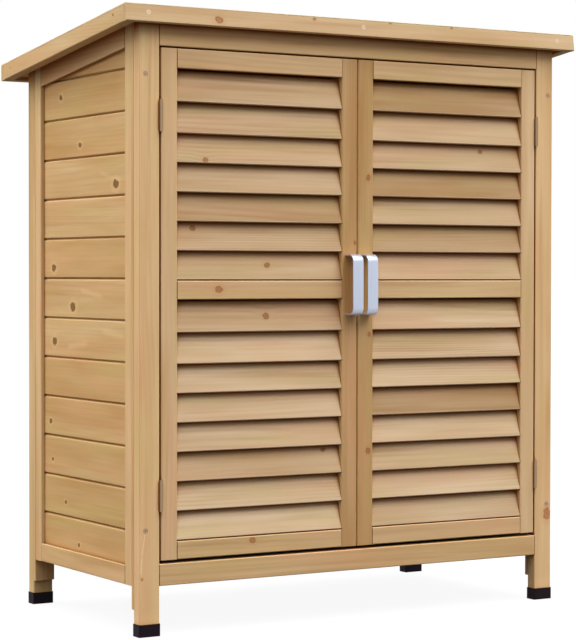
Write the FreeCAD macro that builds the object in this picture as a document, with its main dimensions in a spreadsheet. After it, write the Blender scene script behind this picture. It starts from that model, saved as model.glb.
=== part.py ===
import FreeCAD, Part
import math
import os
import re
import Sketcher

# Louvred garden storage cabinet with two doors under a roof that falls to the back.
# Left pieces are drawn and right ones are their mirror images across X = 0.
# While it is drawn, Y = 0 is the front face of the front posts and +Y runs to the back.
# Each finished piece is then moved so that the origin is under the middle of the cabinet.

SIZES = {
    # carcass: four flat posts, a thin strip behind each, rails and two framed side panels
    "body_width": 796.8,
    "body_depth": 412.6,
    "post_width": 34.7,
    "post_depth": 19.8,
    "strip_thickness": 6.8,
    "strip_bottom": 40.5,
    "edge_ease": 1.2,
    "front_rail_bottom": 77.4,
    "front_rail_height": 33.8,
    "header_height": 37.6,
    "side_frame_thickness": 20.0,
    "side_stile_width": 23.4,
    "side_rail_bottom": 76.6,
    "side_rail_height": 30.4,
    "side_top_rail_height": 31.5,
    # tongued and grooved boards: board_width runs from one joint to the next
    "board_reveal": 6.5,
    "board_thickness": 9.0,
    "board_width": 65.4,
    "first_board_drop": 12.5,
    "board_vee": 2.6,
    "board_gap": 0.4,
    "tongue_length": 5.0,
    "tongue_thickness": 2.8,
    "tongue_play": 0.2,
    "groove_depth": 8.0,
    "groove_play": 0.2,
    "board_end_gap": 0.8,
    # floor, bearers and shelves
    "bearer_size": 20.0,
    "bearer_drop": 2.8,
    "floor_gap": 0.4,
    "shelf_thickness": 12.0,
    "shelf_planks": 4,
    "shelf_plank_gap": 4.0,
    "shelf_end_gap": 3.7,
    "shelf_side_gap": 0.6,
    "lower_shelf_level": 375.0,
    "upper_shelf_level": 640.0,
    "shelf_batten_width": 15.0,
    "shelf_batten_height": 20.0,
    "cleat_width": 30.0,
    "cleat_offset": 190.0,
    # roof: boards in a frame of fascias with roofing felt over all of it
    "roof_slope": 6.9,
    "roof_side_overhang": 32.2,
    "roof_front_overhang": 16.0,
    "roof_back_overhang": 40.0,
    "felt_thickness": 1.0,
    "roof_board_thickness": 20.0,
    "fascia_height": 26.5,
    "front_fascia_thickness": 9.0,
    "side_fascia_thickness": 18.0,
    "back_fascia_thickness": 12.0,
    "roof_board_vee": 3.0,
    # foot caps
    "cap_height": 19.3,
    "cap_base": 2.6,
    "cap_wall": 1.0,
    "cap_play": 0.1,
    # doors
    "door_height": 792.3,
    "door_thickness": 19.4,
    "door_gap_below": 5.7,
    "door_gap_above": 2.5,
    "hinge_gap": 2.8,
    "meeting_gap": 3.0,
    "door_stile_width": 28.4,
    "door_top_rail_height": 30.3,
    "door_middle_rail_height": 29.1,
    "door_middle_rail_level": 403.8,
    "door_bottom_rail_height": 28.0,
    # louvre slats: they lean back and their ends sit in slots of the stiles
    "upper_slats": 7,
    "lower_slats": 8,
    "slat_width": 50.0,
    "slat_thickness": 6.6,
    "slat_lean": 13.4,
    "slat_front": 0.5,
    "slat_ease": 1.4,
    "slat_seat": 0.1,
    "slat_top_clearance": 1.7,
    "top_slat_lift": 3.2,
    "slot_depth": 8.0,
    "slot_play": 0.15,
    "slot_end_gap": 0.4,
    # butt hinges
    "hinge_length": 49.0,
    "hinge_inset_top": 80.0,
    "hinge_inset_bottom": 76.0,
    "knuckle_radius": 2.8,
    "knuckle_clearance": 0.2,
    "knuckle_proud": 0.3,
    "pin_radius": 1.3,
    "pin_clearance": 0.05,
    "pin_head_radius": 2.0,
    "pin_head_height": 0.9,
    "leaf_thickness": 1.1,
    "leaf_width": 13.0,
    # bow handles of flat bar
    "handle_length": 98.8,
    "handle_width": 20.0,
    "handle_thickness": 2.6,
    "handle_reach": 25.0,
    "handle_bend": 9.5,
    "handle_level": 426.1,
    "handle_edge_offset": 2.6,
    # door stop, magnetic catch and strike plates
    "stop_drop": 14.5,
    "catch_width": 56.0,
    "catch_depth": 14.0,
    "catch_height": 28.0,
    "catch_overlap": 10.0,
    "nose_width": 15.0,
    "nose_height": 10.0,
    "nose_spacing": 32.0,
    "nose_gap": 0.3,
    "strike_width": 24.0,
    "strike_height": 14.0,
    "strike_thickness": 1.0,
    # countersunk screws through the posts
    "screw_length": 40.0,
    "screw_radius": 2.0,
    "screw_head_radius": 4.0,
    "screw_head_height": 2.6,
    "screw_recess": 0.3,
    "screw_play": 0.1,
    "screw_offset": 10.2,
    "upper_screw_drop": 31.9,
    "lower_screw_rise": 57.0,
}

# How far a cut runs past the face that it leaves through
OVERSHOOT = 2.0
# Corners that a hinge's pieces share: three knuckles on the post and two on the door
KNUCKLES = 5

# Places worked out from the sizes, as formulas over the names above
HALF_WIDTH = "(body_width / 2)"
POST_INNER = f"({HALF_WIDTH} - post_width)"
FRAME_INNER = f"({HALF_WIDTH} - side_frame_thickness)"
PANEL_FRONT = "(post_depth + strip_thickness)"
PANEL_BACK = "(body_depth - post_depth - strip_thickness)"
STILE_EDGE_FRONT = f"({PANEL_FRONT} + side_stile_width)"
STILE_EDGE_BACK = f"({PANEL_BACK} - side_stile_width)"
BACK_POST_FRONT = "(body_depth - post_depth)"
MIDDLE_DEPTH = "(body_depth / 2)"
SIDE_RAIL_TOP = "(side_rail_bottom + side_rail_height)"
FRONT_RAIL_TOP = "(front_rail_bottom + front_rail_height)"
DOOR_BOTTOM = f"({FRONT_RAIL_TOP} + door_gap_below)"
DOOR_TOP = f"({DOOR_BOTTOM} + door_height)"
HEADER_BOTTOM = f"({DOOR_TOP} + door_gap_above)"
HEADER_TOP = f"({HEADER_BOTTOM} + header_height)"
ROOF_THICKNESS = "(felt_thickness + roof_board_thickness)"
ROOF_HALF_WIDTH = f"({HALF_WIDTH} + roof_side_overhang)"
ROOF_LENGTH = "((body_depth + roof_front_overhang + roof_back_overhang) / cos(roof_slope))"
ROOF_FRONT_TOP = (
    f"({HEADER_TOP} + {ROOF_THICKNESS} / cos(roof_slope)"
    " + roof_front_overhang * tan(roof_slope))"
)
BEARER_BOTTOM = "(side_rail_bottom + bearer_drop)"
FLOOR_BOTTOM = f"({BEARER_BOTTOM} + bearer_size)"
FLOOR_TOP = f"({FLOOR_BOTTOM} + board_thickness)"
DOOR_OUTER = f"({POST_INNER} - hinge_gap)"
DOOR_INNER = "(meeting_gap / 2)"
OPENING_OUTER = f"({DOOR_OUTER} - door_stile_width)"
OPENING_INNER = f"({DOOR_INNER} + door_stile_width)"
BOTTOM_RAIL_TOP = f"({DOOR_BOTTOM} + door_bottom_rail_height)"
MIDDLE_RAIL_BOTTOM = f"({DOOR_BOTTOM} + door_middle_rail_level)"
MIDDLE_RAIL_TOP = f"({MIDDLE_RAIL_BOTTOM} + door_middle_rail_height)"
TOP_RAIL_BOTTOM = f"({DOOR_TOP} - door_top_rail_height)"
KNUCKLE_LENGTH = f"(hinge_length / {KNUCKLES})"
HINGE_X = f"(-{POST_INNER} + hinge_gap / 2)"
HINGE_Y = "(-knuckle_radius - knuckle_proud)"
LOWER_HINGE_BOTTOM = f"({DOOR_BOTTOM} + hinge_inset_bottom)"
UPPER_HINGE_TOP = f"({DOOR_TOP} - hinge_inset_top)"
HINGE_MIDDLE = f"(({LOWER_HINGE_BOTTOM} + {UPPER_HINGE_TOP}) / 2)"
ORIGIN_SHIFT = "((handle_reach - body_depth - roof_back_overhang) / 2)"

doc = FreeCAD.newDocument("garden_storage_cabinet")
sheet = doc.addObject("Spreadsheet::Sheet", "Sizes")
for row, (alias, number) in enumerate(SIZES.items(), start=1):
    sheet.set(f"A{row}", alias)
    sheet.set(f"B{row}", str(number))
    sheet.setAlias(f"B{row}", alias)
doc.recompute()

pieces = []


def formula(text):
    """Point every size name in the text at its cell of the sheet."""
    def cell(match):
        name = match.group()
        return f"Sizes.{name}" if name in SIZES else name

    return re.sub(r"[a-z]\w*", cell, str(text))


def value(text):
    """Work a formula out as a plain number."""
    return float(sheet.evalExpression(formula(text)))


def bind(item, prop, text):
    """Tie one property of an object to a formula over the sheet."""
    item.setExpression(prop, formula(text))


def finish(item, label, shift=True):
    """Name a finished piece and move it to the cabinet's own origin."""
    item.Label = label
    if shift:
        bind(item, "Placement.Base.y", ORIGIN_SHIFT)
    pieces.append(item)
    return item


def roof_under(y):
    """Height of the roof's underside at a depth y."""
    return f"({HEADER_TOP} - ({y}) * tan(roof_slope))"


# Drawing helpers
# A plane's role, the body axis that its normal follows, and the normal's sign
PLANES = {"XY": ("XY_Plane", 1), "XZ": ("XZ_Plane", -1), "YZ": ("YZ_Plane", 1)}


def new_body(name):
    body = doc.addObject("PartDesign::Body", name)
    body.AllowCompound = True
    return body


def origin_item(body, role):
    return next(item for item in body.Origin.OriginFeatures if item.Role == role)


def new_sketch(body, plane, level):
    """Sketch on a plane of the body, at a level along the axis across it."""
    role, sign = PLANES[plane]
    sketch = body.newObject("Sketcher::SketchObject", "Outline")
    sketch.AttachmentSupport = [(origin_item(body, role), "")]
    sketch.MapMode = "FlatFace"
    bind(sketch, "AttachmentOffset.Base.z", level if sign > 0 else f"-({level})")
    return sketch


def draw(sketch, outline):
    """Closed outline of straight lines whose corners are formulas."""
    first = sketch.GeometryCount
    corners = [FreeCAD.Vector(value(x), value(y), 0) for x, y in outline]
    for index, corner in enumerate(corners):
        following = corners[(index + 1) % len(corners)]
        sketch.addGeometry(Part.LineSegment(corner, following))
    for index in range(len(corners)):
        following = first + (index + 1) % len(corners)
        sketch.addConstraint(Sketcher.Constraint("Coincident", first + index, 2, following, 1))
    for index, (x, y) in enumerate(outline):
        line = first + index
        for kind, text, number in (
            ("DistanceX", x, corners[index].x),
            ("DistanceY", y, corners[index].y),
        ):
            place = sketch.addConstraint(Sketcher.Constraint(kind, -1, 1, line, 1, number))
            bind(sketch, f"Constraints[{place}]", text)


def draw_circle(sketch, x, y, radius):
    circle = Part.Circle(FreeCAD.Vector(value(x), value(y), 0), FreeCAD.Vector(0, 0, 1), value(radius))
    index = sketch.addGeometry(circle)
    for kind, text in (("DistanceX", x), ("DistanceY", y)):
        place = sketch.addConstraint(Sketcher.Constraint(kind, -1, 1, index, 3, value(text)))
        bind(sketch, f"Constraints[{place}]", text)
    place = sketch.addConstraint(Sketcher.Constraint("Radius", index, value(radius)))
    bind(sketch, f"Constraints[{place}]", radius)


def extrude(body, kind, plane, outlines, start, length):
    """Pad or pocket of the outlines, from start along the positive axis."""
    sketch = new_sketch(body, plane, start)
    for outline in outlines:
        draw(sketch, outline)
    feature = body.newObject(f"PartDesign::{kind}", kind)
    feature.Profile = sketch
    bind(feature, "Length", length)
    positive = PLANES[plane][1] > 0
    feature.Reversed = (not positive) if kind == "Pad" else positive
    return feature


def pad(body, plane, outline, start, length):
    return extrude(body, "Pad", plane, [outline], start, length)


def pocket(body, plane, outline, start, length):
    """Cut an outline out of the body, and make sure that it bites."""
    doc.recompute()
    before = body.Shape.Volume
    feature = extrude(body, "Pocket", plane, [outline], start, length)
    doc.recompute()
    if not body.Shape.Volume < before:
        raise RuntimeError(f"{body.Name}: a cut takes nothing away")
    return feature


def repeat(body, features, axis, length, count):
    """Row of copies of the features over a length along an axis of the body."""
    row = body.newObject("PartDesign::LinearPattern", "Row")
    row.Originals = features
    row.Direction = (origin_item(body, f"{axis}_Axis"), [""])
    bind(row, "Length", length)
    row.Occurrences = count
    body.Tip = row
    return row


def mirror(source, name, normal, level="0"):
    """Mirror image of an object across a plane square to X, Y or Z."""
    image = doc.addObject("Part::Mirroring", name)
    image.Source = source
    axes = {"x": (1, 0, 0), "y": (0, 1, 0), "z": (0, 0, 1)}
    image.Normal = FreeCAD.Vector(*axes[normal])
    bind(image, f"Base.{normal}", level)
    return image


def mirrored_set(source, name, planes):
    """Compound of a piece and its images across each plane in turn."""
    members = [source]
    for normal, level in planes:
        members += [mirror(member, f"{name}_image", normal, level) for member in members]
    group = doc.addObject("Part::Compound", name)
    group.Links = members
    return group


def right_hand(left, label):
    """The right-hand piece is the left one's mirror image."""
    return finish(mirror(left, label, "x"), label, shift=False)


def rectangle(a0, a1, b0, b1):
    return [(a0, b0), (a1, b0), (a1, b1), (a0, b1)]


def planed(a0, a1, b0, b1, ease="edge_ease"):
    """Section of planed timber with its four long edges eased."""
    return [
        (f"{a0} + {ease}", b0), (f"{a1} - {ease}", b0),
        (a1, f"{b0} + {ease}"), (a1, f"{b1} - {ease}"),
        (f"{a1} - {ease}", b1), (f"{a0} + {ease}", b1),
        (a0, f"{b1} - {ease}"), (a0, f"{b0} + {ease}"),
    ]


def slope_cut(body, y0, y1, x0, width, drop="0"):
    """Cut everything above the roof's underside, or above a line drop below it."""
    ceiling = f"{roof_under(y0)} + {OVERSHOOT}"
    outline = [
        (y0, f"{roof_under(y0)} - {drop}"), (y1, f"{roof_under(y1)} - {drop}"),
        (y1, ceiling), (y0, ceiling),
    ]
    return pocket(body, "YZ", outline, x0, width)


def screw_profile(play):
    """Half section of a countersunk screw, as radius and depth from the post's face."""
    head = f"screw_head_radius + {play}"
    shank = f"screw_radius + {play}"
    top = [("0", "screw_recess")] if play == "0" else [("0", "0"), (head, "0")]
    return top + [
        (head, "screw_recess"), (shank, "screw_recess + screw_head_height"),
        (shank, f"screw_length - screw_radius + {play}"), ("0", f"screw_length + {play}"),
    ]


def turned(body, kind, profile, x, y_face, z, inward):
    """Revolve a (radius, depth) profile about an axis along Y through (x, z)."""
    sketch = body.newObject("Sketcher::SketchObject", "Profile")
    sketch.AttachmentSupport = [(origin_item(body, "XY_Plane"), "")]
    sketch.MapMode = "FlatFace"
    for axis, text in (("x", x), ("y", y_face), ("z", z)):
        bind(sketch, f"AttachmentOffset.Base.{axis}", text)
    sign = "" if inward > 0 else "-"
    draw(sketch, [(radius, f"{sign}({depth})") for radius, depth in profile])
    feature = body.newObject(f"PartDesign::{kind}", kind)
    feature.Profile = sketch
    feature.ReferenceAxis = (sketch, ["V_Axis"])
    feature.Angle = 360
    return feature


def screw_holes(body, y_face, inward):
    """Two holes, high and low, for the screws that go in from a post's face."""
    for level in (UPPER_SCREW, LOWER_SCREW):
        doc.recompute()
        before = body.Shape.Volume
        turned(body, "Groove", screw_profile("screw_play"), SCREW_X, y_face, level, inward)
        doc.recompute()
        if not body.Shape.Volume < before:
            raise RuntimeError(f"{body.Name}: a screw hole takes nothing away")


SCREW_X = f"(-{HALF_WIDTH} + screw_offset)"
UPPER_SCREW = f"({roof_under('body_depth')} - upper_screw_drop)"
LOWER_SCREW = f"({SIDE_RAIL_TOP} + lower_screw_rise)"
SCREW_MIDDLE = f"(({UPPER_SCREW} + {LOWER_SCREW}) / 2)"

# Grooves that hold the wall boards: between these two distances in from the outer face
GROOVE_OUTER = "(board_reveal - groove_play)"
GROOVE_INNER = "(board_reveal + board_thickness + groove_play)"


# Posts
# Each is flat timber with a top cut to the roof's fall, standing in its foot cap.
def post(label, y_front, groove):
    body = new_body(label)
    x0 = f"-{HALF_WIDTH}"
    x1 = f"-{POST_INNER}"
    y_back = f"({y_front} + post_depth)"
    top = roof_under(y_front)
    pad(body, "XY", planed(x0, x1, y_front, y_back), "cap_base", f"{top} - cap_base")
    slope_cut(body, y_front, y_back, x0, "post_width")
    if groove:
        face = f"({x1} - groove_depth)"
        slot = rectangle(face, f"{x1} + {OVERSHOOT}", f"body_depth - {GROOVE_INNER}", f"body_depth - {GROOVE_OUTER}")
        pocket(body, "XY", slot, f"{SIDE_RAIL_TOP} - groove_depth", f"{top} - {SIDE_RAIL_TOP}")
        screw_holes(body, "body_depth", -1)
    else:
        screw_holes(body, "0", 1)
    return finish(body, label)


front_left_post = post("front_left_post", "0", groove=False)
right_hand(front_left_post, "front_right_post")
back_left_post = post("back_left_post", BACK_POST_FRONT, groove=True)
right_hand(back_left_post, "back_right_post")


# Thin strips on the inner face of each post
def strip(label, y_front, inward):
    body = new_body(label)
    x0 = f"-{HALF_WIDTH}"
    y_back = f"({y_front} + strip_thickness)"
    outline = rectangle(x0, f"-{POST_INNER}", y_front, y_back)
    pad(body, "XY", outline, "strip_bottom", f"{roof_under(y_front)} - strip_bottom")
    slope_cut(body, y_front, y_back, x0, "post_width")
    screw_holes(body, "0" if inward > 0 else "body_depth", inward)
    return finish(body, label)


right_hand(strip("front_left_strip", "post_depth", 1), "front_right_strip")
right_hand(strip("back_left_strip", PANEL_BACK, -1), "back_right_strip")


# Foot caps: a soft plastic cup pushed over the end of each post
def foot_caps():
    body = new_body("foot_cap")
    inner = "cap_play"
    outer = "(cap_play + cap_wall)"
    x0, x1 = f"(-{HALF_WIDTH})", f"(-{POST_INNER})"
    skin = planed(f"({x0} - {outer})", f"({x1} + {outer})", f"(-{outer})", f"(post_depth + {outer})")
    hollow = rectangle(f"{x0} - {inner}", f"{x1} + {inner}", f"-{inner}", f"post_depth + {inner}")
    pad(body, "XY", skin, "0", "cap_height")
    pocket(body, "XY", hollow, "cap_base", "cap_height")
    group = mirrored_set(body, "foot_caps", [("y", MIDDLE_DEPTH), ("x", "0")])
    return finish(group, "foot_caps")


foot_caps()


# Front rails, between the posts and flush with their faces
def header_rail():
    body = new_body("header_rail")
    outline = [
        ("edge_ease", HEADER_BOTTOM), ("post_depth", HEADER_BOTTOM),
        ("post_depth", roof_under("post_depth")), ("0", roof_under("0")),
        ("0", f"{HEADER_BOTTOM} + edge_ease"),
    ]
    pad(body, "YZ", outline, f"-{POST_INNER}", f"2 * {POST_INNER}")
    return finish(body, "header_rail")


def front_bottom_rail():
    body = new_body("front_bottom_rail")
    outline = planed("0", "post_depth", "front_rail_bottom", FRONT_RAIL_TOP)
    pad(body, "YZ", outline, f"-{POST_INNER}", f"2 * {POST_INNER}")
    return finish(body, "front_bottom_rail")


header_rail()
front_bottom_rail()


# Back rails, grooved for the ends of the back wall's height
def back_rail(label, bottom, top, groove_up):
    body = new_body(label)
    outline = rectangle(BACK_POST_FRONT, "body_depth", bottom, top)
    pad(body, "YZ", outline, f"-{POST_INNER}", f"2 * {POST_INNER}")
    if groove_up:
        low, high = f"{top} - groove_depth", f"{top} + {OVERSHOOT}"
    else:
        low, high = f"{bottom} - {OVERSHOOT}", f"{bottom} + groove_depth"
        slope_cut(body, BACK_POST_FRONT, "body_depth", f"-{POST_INNER}", f"2 * {POST_INNER}")
    slot = rectangle(f"body_depth - {GROOVE_INNER}", f"body_depth - {GROOVE_OUTER}", low, high)
    pocket(body, "YZ", slot, f"-{POST_INNER}", f"2 * {POST_INNER}")
    return finish(body, label)


BACK_RAIL_BOTTOM = f"({roof_under('body_depth')} - side_top_rail_height)"
back_rail("back_bottom_rail", "side_rail_bottom", SIDE_RAIL_TOP, groove_up=True)
back_rail("back_top_rail", BACK_RAIL_BOTTOM, roof_under(BACK_POST_FRONT), groove_up=False)


# Side panels
# Two grooved stiles, a level bottom rail and a top rail that follows the roof.
def side_stile(label, y0, y1, opening):
    """Stile with a groove on the edge that faces the boards, from the bottom to the roof."""
    body = new_body(label)
    x0, x1 = f"(-{HALF_WIDTH})", f"(-{FRAME_INNER})"
    pad(body, "XY", planed(x0, x1, y0, y1), "side_rail_bottom", f"{roof_under(y0)} - side_rail_bottom")
    slope_cut(body, y0, y1, x0, "side_frame_thickness")
    edge, inner = (y1, f"{y1} - groove_depth") if opening > 0 else (y0, f"{y0} + groove_depth")
    past = f"{edge} + {opening * OVERSHOOT}"
    slot = rectangle(f"{x0} + {GROOVE_OUTER}", f"{x0} + {GROOVE_INNER}", inner, past)
    pocket(body, "XY", slot, f"{SIDE_RAIL_TOP} - groove_depth", f"{roof_under(y0)} - side_rail_bottom")
    screw_holes(body, "0" if opening > 0 else "body_depth", opening)
    return finish(body, label)


def side_bottom_rail(label):
    body = new_body(label)
    x0, x1 = f"(-{HALF_WIDTH})", f"(-{FRAME_INNER})"
    length = f"{STILE_EDGE_BACK} - {STILE_EDGE_FRONT}"
    outline = planed(x0, x1, "side_rail_bottom", SIDE_RAIL_TOP)
    pad(body, "XZ", outline, STILE_EDGE_FRONT, length)
    slot = rectangle(
        f"{x0} + {GROOVE_OUTER}", f"{x0} + {GROOVE_INNER}",
        f"{SIDE_RAIL_TOP} - groove_depth", f"{SIDE_RAIL_TOP} + {OVERSHOOT}",
    )
    pocket(body, "XZ", slot, STILE_EDGE_FRONT, length)
    return finish(body, label)


def side_top_rail(label):
    body = new_body(label)
    y0, y1 = STILE_EDGE_FRONT, STILE_EDGE_BACK
    outline = [
        (y0, f"{roof_under(y0)} - side_top_rail_height"),
        (y1, f"{roof_under(y1)} - side_top_rail_height"),
        (y1, roof_under(y1)), (y0, roof_under(y0)),
    ]
    pad(body, "YZ", outline, f"-{HALF_WIDTH}", "side_frame_thickness")
    seat = "side_top_rail_height - groove_depth"
    past = f"side_top_rail_height + {OVERSHOOT}"
    slot = [
        (y0, f"{roof_under(y0)} - ({past})"), (y1, f"{roof_under(y1)} - ({past})"),
        (y1, f"{roof_under(y1)} - ({seat})"), (y0, f"{roof_under(y0)} - ({seat})"),
    ]
    pocket(body, "YZ", slot, f"-{HALF_WIDTH} + {GROOVE_OUTER}", f"{GROOVE_INNER} - {GROOVE_OUTER}")
    return finish(body, label)


# Tongued and grooved boards
# Every board has a tongue on one edge, a groove on the other and a vee along the face joint.
def board_section(start, pitch, vee, thickness):
    """Section of one board as (depth from the face, distance along the wall)."""
    near = f"(({thickness}) - tongue_thickness) / 2"
    far = f"(({thickness}) + tongue_thickness) / 2"
    low, high = f"({start} + board_gap)", f"({start} + {pitch})"
    floor = f"{low} + tongue_length + tongue_play"
    return [
        ("0", f"{low} + {vee}"), ("0", f"{high} - {vee}"), (vee, high), (near, high),
        (near, f"{high} + tongue_length"), (far, f"{high} + tongue_length"),
        (far, high), (thickness, high), (thickness, low), (f"{far} + tongue_play", low),
        (f"{far} + tongue_play", floor), (f"{near} - tongue_play", floor),
        (f"{near} - tongue_play", low), (vee, low),
    ]


def board_count(start, end):
    return math.ceil((value(end) - value(start)) / value("board_width"))


def board_row(body, outline, plane, start, length, axis, count):
    board = pad(body, plane, outline, start, length)
    row = repeat(body, [board], axis, f"board_width * {count - 1}", count)
    doc.recompute()
    return row


FIRST_BOARD = f"({SIDE_RAIL_TOP} - first_board_drop)"
WALL_BOTTOM = f"({SIDE_RAIL_TOP} - groove_depth + board_end_gap)"
WALL_TOP_DROP = "(side_top_rail_height - groove_depth + board_end_gap)"
BOARDS_FROM = f"({FIRST_BOARD} - tongue_length)"


def side_boards(label):
    """Level boards of a side wall, trimmed to the sloping top rail."""
    body = new_body(label)
    y0 = f"({STILE_EDGE_FRONT} - groove_depth + board_end_gap)"
    y1 = f"({STILE_EDGE_BACK} + groove_depth - board_end_gap)"
    face = f"(-{HALF_WIDTH} + board_reveal)"
    section = board_section(FIRST_BOARD, "board_width", "board_vee", "board_thickness")
    outline = [(f"{face} + {depth}", along) for depth, along in section]
    count = board_count(FIRST_BOARD, f"{roof_under(y0)} - {WALL_TOP_DROP}")
    board_row(body, outline, "XZ", y0, f"{y1} - {y0}", "Z", count)
    top = f"{FIRST_BOARD} + {count} * board_width + tongue_length + {OVERSHOOT}"
    trim = [
        (y0, f"{roof_under(y0)} - {WALL_TOP_DROP}"), (y1, f"{roof_under(y1)} - {WALL_TOP_DROP}"),
        (y1, top), (y0, top),
    ]
    pocket(body, "YZ", trim, face, "board_thickness")
    pocket(body, "YZ", rectangle(y0, y1, BOARDS_FROM, WALL_BOTTOM), face, "board_thickness")
    return finish(body, label)


def back_boards(label):
    body = new_body(label)
    x1 = f"({POST_INNER} + groove_depth - board_end_gap)"
    face = "(body_depth - board_reveal)"
    section = board_section(FIRST_BOARD, "board_width", "board_vee", "board_thickness")
    outline = [(f"{face} - ({depth})", along) for depth, along in section]
    wall_top = f"({BACK_RAIL_BOTTOM} + groove_depth - board_end_gap)"
    count = board_count(FIRST_BOARD, wall_top)
    board_row(body, outline, "YZ", f"-{x1}", f"2 * {x1}", "Z", count)
    top = f"{FIRST_BOARD} + {count} * board_width + tongue_length + {OVERSHOOT}"
    inner = f"{face} - board_thickness"
    pocket(body, "YZ", rectangle(inner, face, wall_top, top), f"-{x1}", f"2 * {x1}")
    pocket(body, "YZ", rectangle(inner, face, BOARDS_FROM, WALL_BOTTOM), f"-{x1}", f"2 * {x1}")
    return finish(body, label)


left_panel = [
    side_stile("left_panel_front_stile", PANEL_FRONT, STILE_EDGE_FRONT, 1),
    side_stile("left_panel_back_stile", STILE_EDGE_BACK, PANEL_BACK, -1),
    side_bottom_rail("left_panel_bottom_rail"),
    side_top_rail("left_panel_top_rail"),
    side_boards("left_panel_boards"),
]
for piece in left_panel:
    right_hand(piece, piece.Label.replace("left", "right"))
back_boards("back_boards")


# Floor on three bearers
def floor_bearers():
    side = new_body("side_bearer")
    x0 = f"(-{FRAME_INNER})"
    outline = rectangle(x0, f"{x0} + bearer_size", BEARER_BOTTOM, FLOOR_BOTTOM)
    pad(side, "XZ", outline, PANEL_FRONT, f"{PANEL_BACK} - {PANEL_FRONT}")
    middle = new_body("middle_bearer")
    outline = rectangle("-bearer_size / 2", "bearer_size / 2", BEARER_BOTTOM, FLOOR_BOTTOM)
    pad(middle, "XZ", outline, "post_depth", f"{BACK_POST_FRONT} - post_depth")
    group = doc.addObject("Part::Compound", "floor_bearers")
    group.Links = [side, middle, mirror(side, "side_bearer_image", "x")]
    return finish(group, "floor_bearers")


def floor_boards(label):
    """Boards across the cabinet, notched round the posts' inner strips."""
    body = new_body(label)
    x1 = f"({FRAME_INNER} - floor_gap)"
    y0 = "(post_depth + floor_gap)"
    y1 = f"({BACK_POST_FRONT} - floor_gap)"
    section = board_section(y0, "board_width", "board_vee", "board_thickness")
    outline = [(along, f"{FLOOR_TOP} - ({depth})") for depth, along in section]
    count = board_count(y0, y1)
    board_row(body, outline, "YZ", f"-{x1}", f"2 * {x1}", "Y", count)
    end = f"{y0} + {count} * board_width + tongue_length + {OVERSHOOT}"
    pocket(body, "XY", rectangle(f"-{x1}", x1, y1, end), FLOOR_BOTTOM, "board_thickness")
    notch = f"({POST_INNER} - floor_gap)"
    for side in (-1, 1):
        for near, far in (
            ("0", f"{PANEL_FRONT} + floor_gap"),
            (f"{PANEL_BACK} - floor_gap", "body_depth"),
        ):
            corner = rectangle(f"{side} * {notch}", f"{side} * {HALF_WIDTH}", near, far)
            pocket(body, "XY", corner, FLOOR_BOTTOM, "board_thickness")
    return finish(body, label)


floor_bearers()
floor_boards("floor_boards")


# Two shelves of planks on cleats, laid on battens along the side panels
def shelf(label, level):
    body = new_body(f"{label}_planks")
    count = SIZES["shelf_planks"]
    x1 = f"({FRAME_INNER} - shelf_side_gap)"
    y0 = f"({PANEL_FRONT} + shelf_end_gap)"
    run = f"({PANEL_BACK} - {PANEL_FRONT} - 2 * shelf_end_gap)"
    step = f"(({run} + shelf_plank_gap) / shelf_planks)"
    under = f"({level} - shelf_thickness)"
    section = planed(y0, f"({y0} + {step} - shelf_plank_gap)", under, level)
    plank = pad(body, "YZ", section, f"-{x1}", f"2 * {x1}")
    repeat(body, [plank], "Y", f"{step} * {count - 1}", count)
    doc.recompute()
    cleats = []
    for side in (-1, 1):
        x0 = f"({side} * cleat_offset - cleat_width / 2)"
        cleat = rectangle(x0, f"{x0} + cleat_width", f"{under} - shelf_thickness", under)
        piece = new_body(f"{label}_cleat")
        pad(piece, "XZ", cleat, y0, run)
        cleats.append(piece)
    group = doc.addObject("Part::Compound", label)
    group.Links = [body] + cleats
    return finish(group, label)


def shelf_battens():
    rows = []
    for level in ("lower_shelf_level", "upper_shelf_level"):
        body = new_body("shelf_batten")
        x0 = f"(-{FRAME_INNER})"
        top = f"({level} - shelf_thickness)"
        outline = rectangle(x0, f"{x0} + shelf_batten_width", f"{top} - shelf_batten_height", top)
        pad(body, "XZ", outline, PANEL_FRONT, f"{PANEL_BACK} - {PANEL_FRONT}")
        rows += [body, mirror(body, "shelf_batten_image", "x")]
    group = doc.addObject("Part::Compound", "shelf_battens")
    group.Links = rows
    return finish(group, "shelf_battens")


shelf("lower_shelf", "lower_shelf_level")
shelf("upper_shelf", "upper_shelf_level")
shelf_battens()


# Roof
# It is drawn level, with Y = 0 at its front edge and Z = 0 on top of the felt, and then
# tipped about that edge so that it falls to the back.
def roof_piece(body, label):
    body.Placement.Rotation = FreeCAD.Rotation(FreeCAD.Vector(-1, 0, 0), 1)
    bind(body, "Placement.Rotation.Angle", "roof_slope")
    finish(body, label)
    bind(body, "Placement.Base.y", f"{ORIGIN_SHIFT} - roof_front_overhang")
    bind(body, "Placement.Base.z", ROOF_FRONT_TOP)
    return body


def roof_felt(label):
    body = new_body(label)
    sheet_outline = rectangle(f"-{ROOF_HALF_WIDTH}", ROOF_HALF_WIDTH, "0", ROOF_LENGTH)
    pad(body, "XY", sheet_outline, "-felt_thickness", "felt_thickness")
    return roof_piece(body, label)


FASCIA_TOP = "(-felt_thickness)"
FASCIA_BOTTOM = "(-felt_thickness - fascia_height)"
ROOF_BOARD_END = f"({ROOF_HALF_WIDTH} - side_fascia_thickness)"
BACK_FASCIA_START = f"({ROOF_LENGTH} - back_fascia_thickness)"


def plumb(y, z):
    """Distance along the roof, at a height z, of an upright line that starts y along its top."""
    return f"{y} + ({FASCIA_TOP} - ({z})) * tan(roof_slope)"


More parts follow.
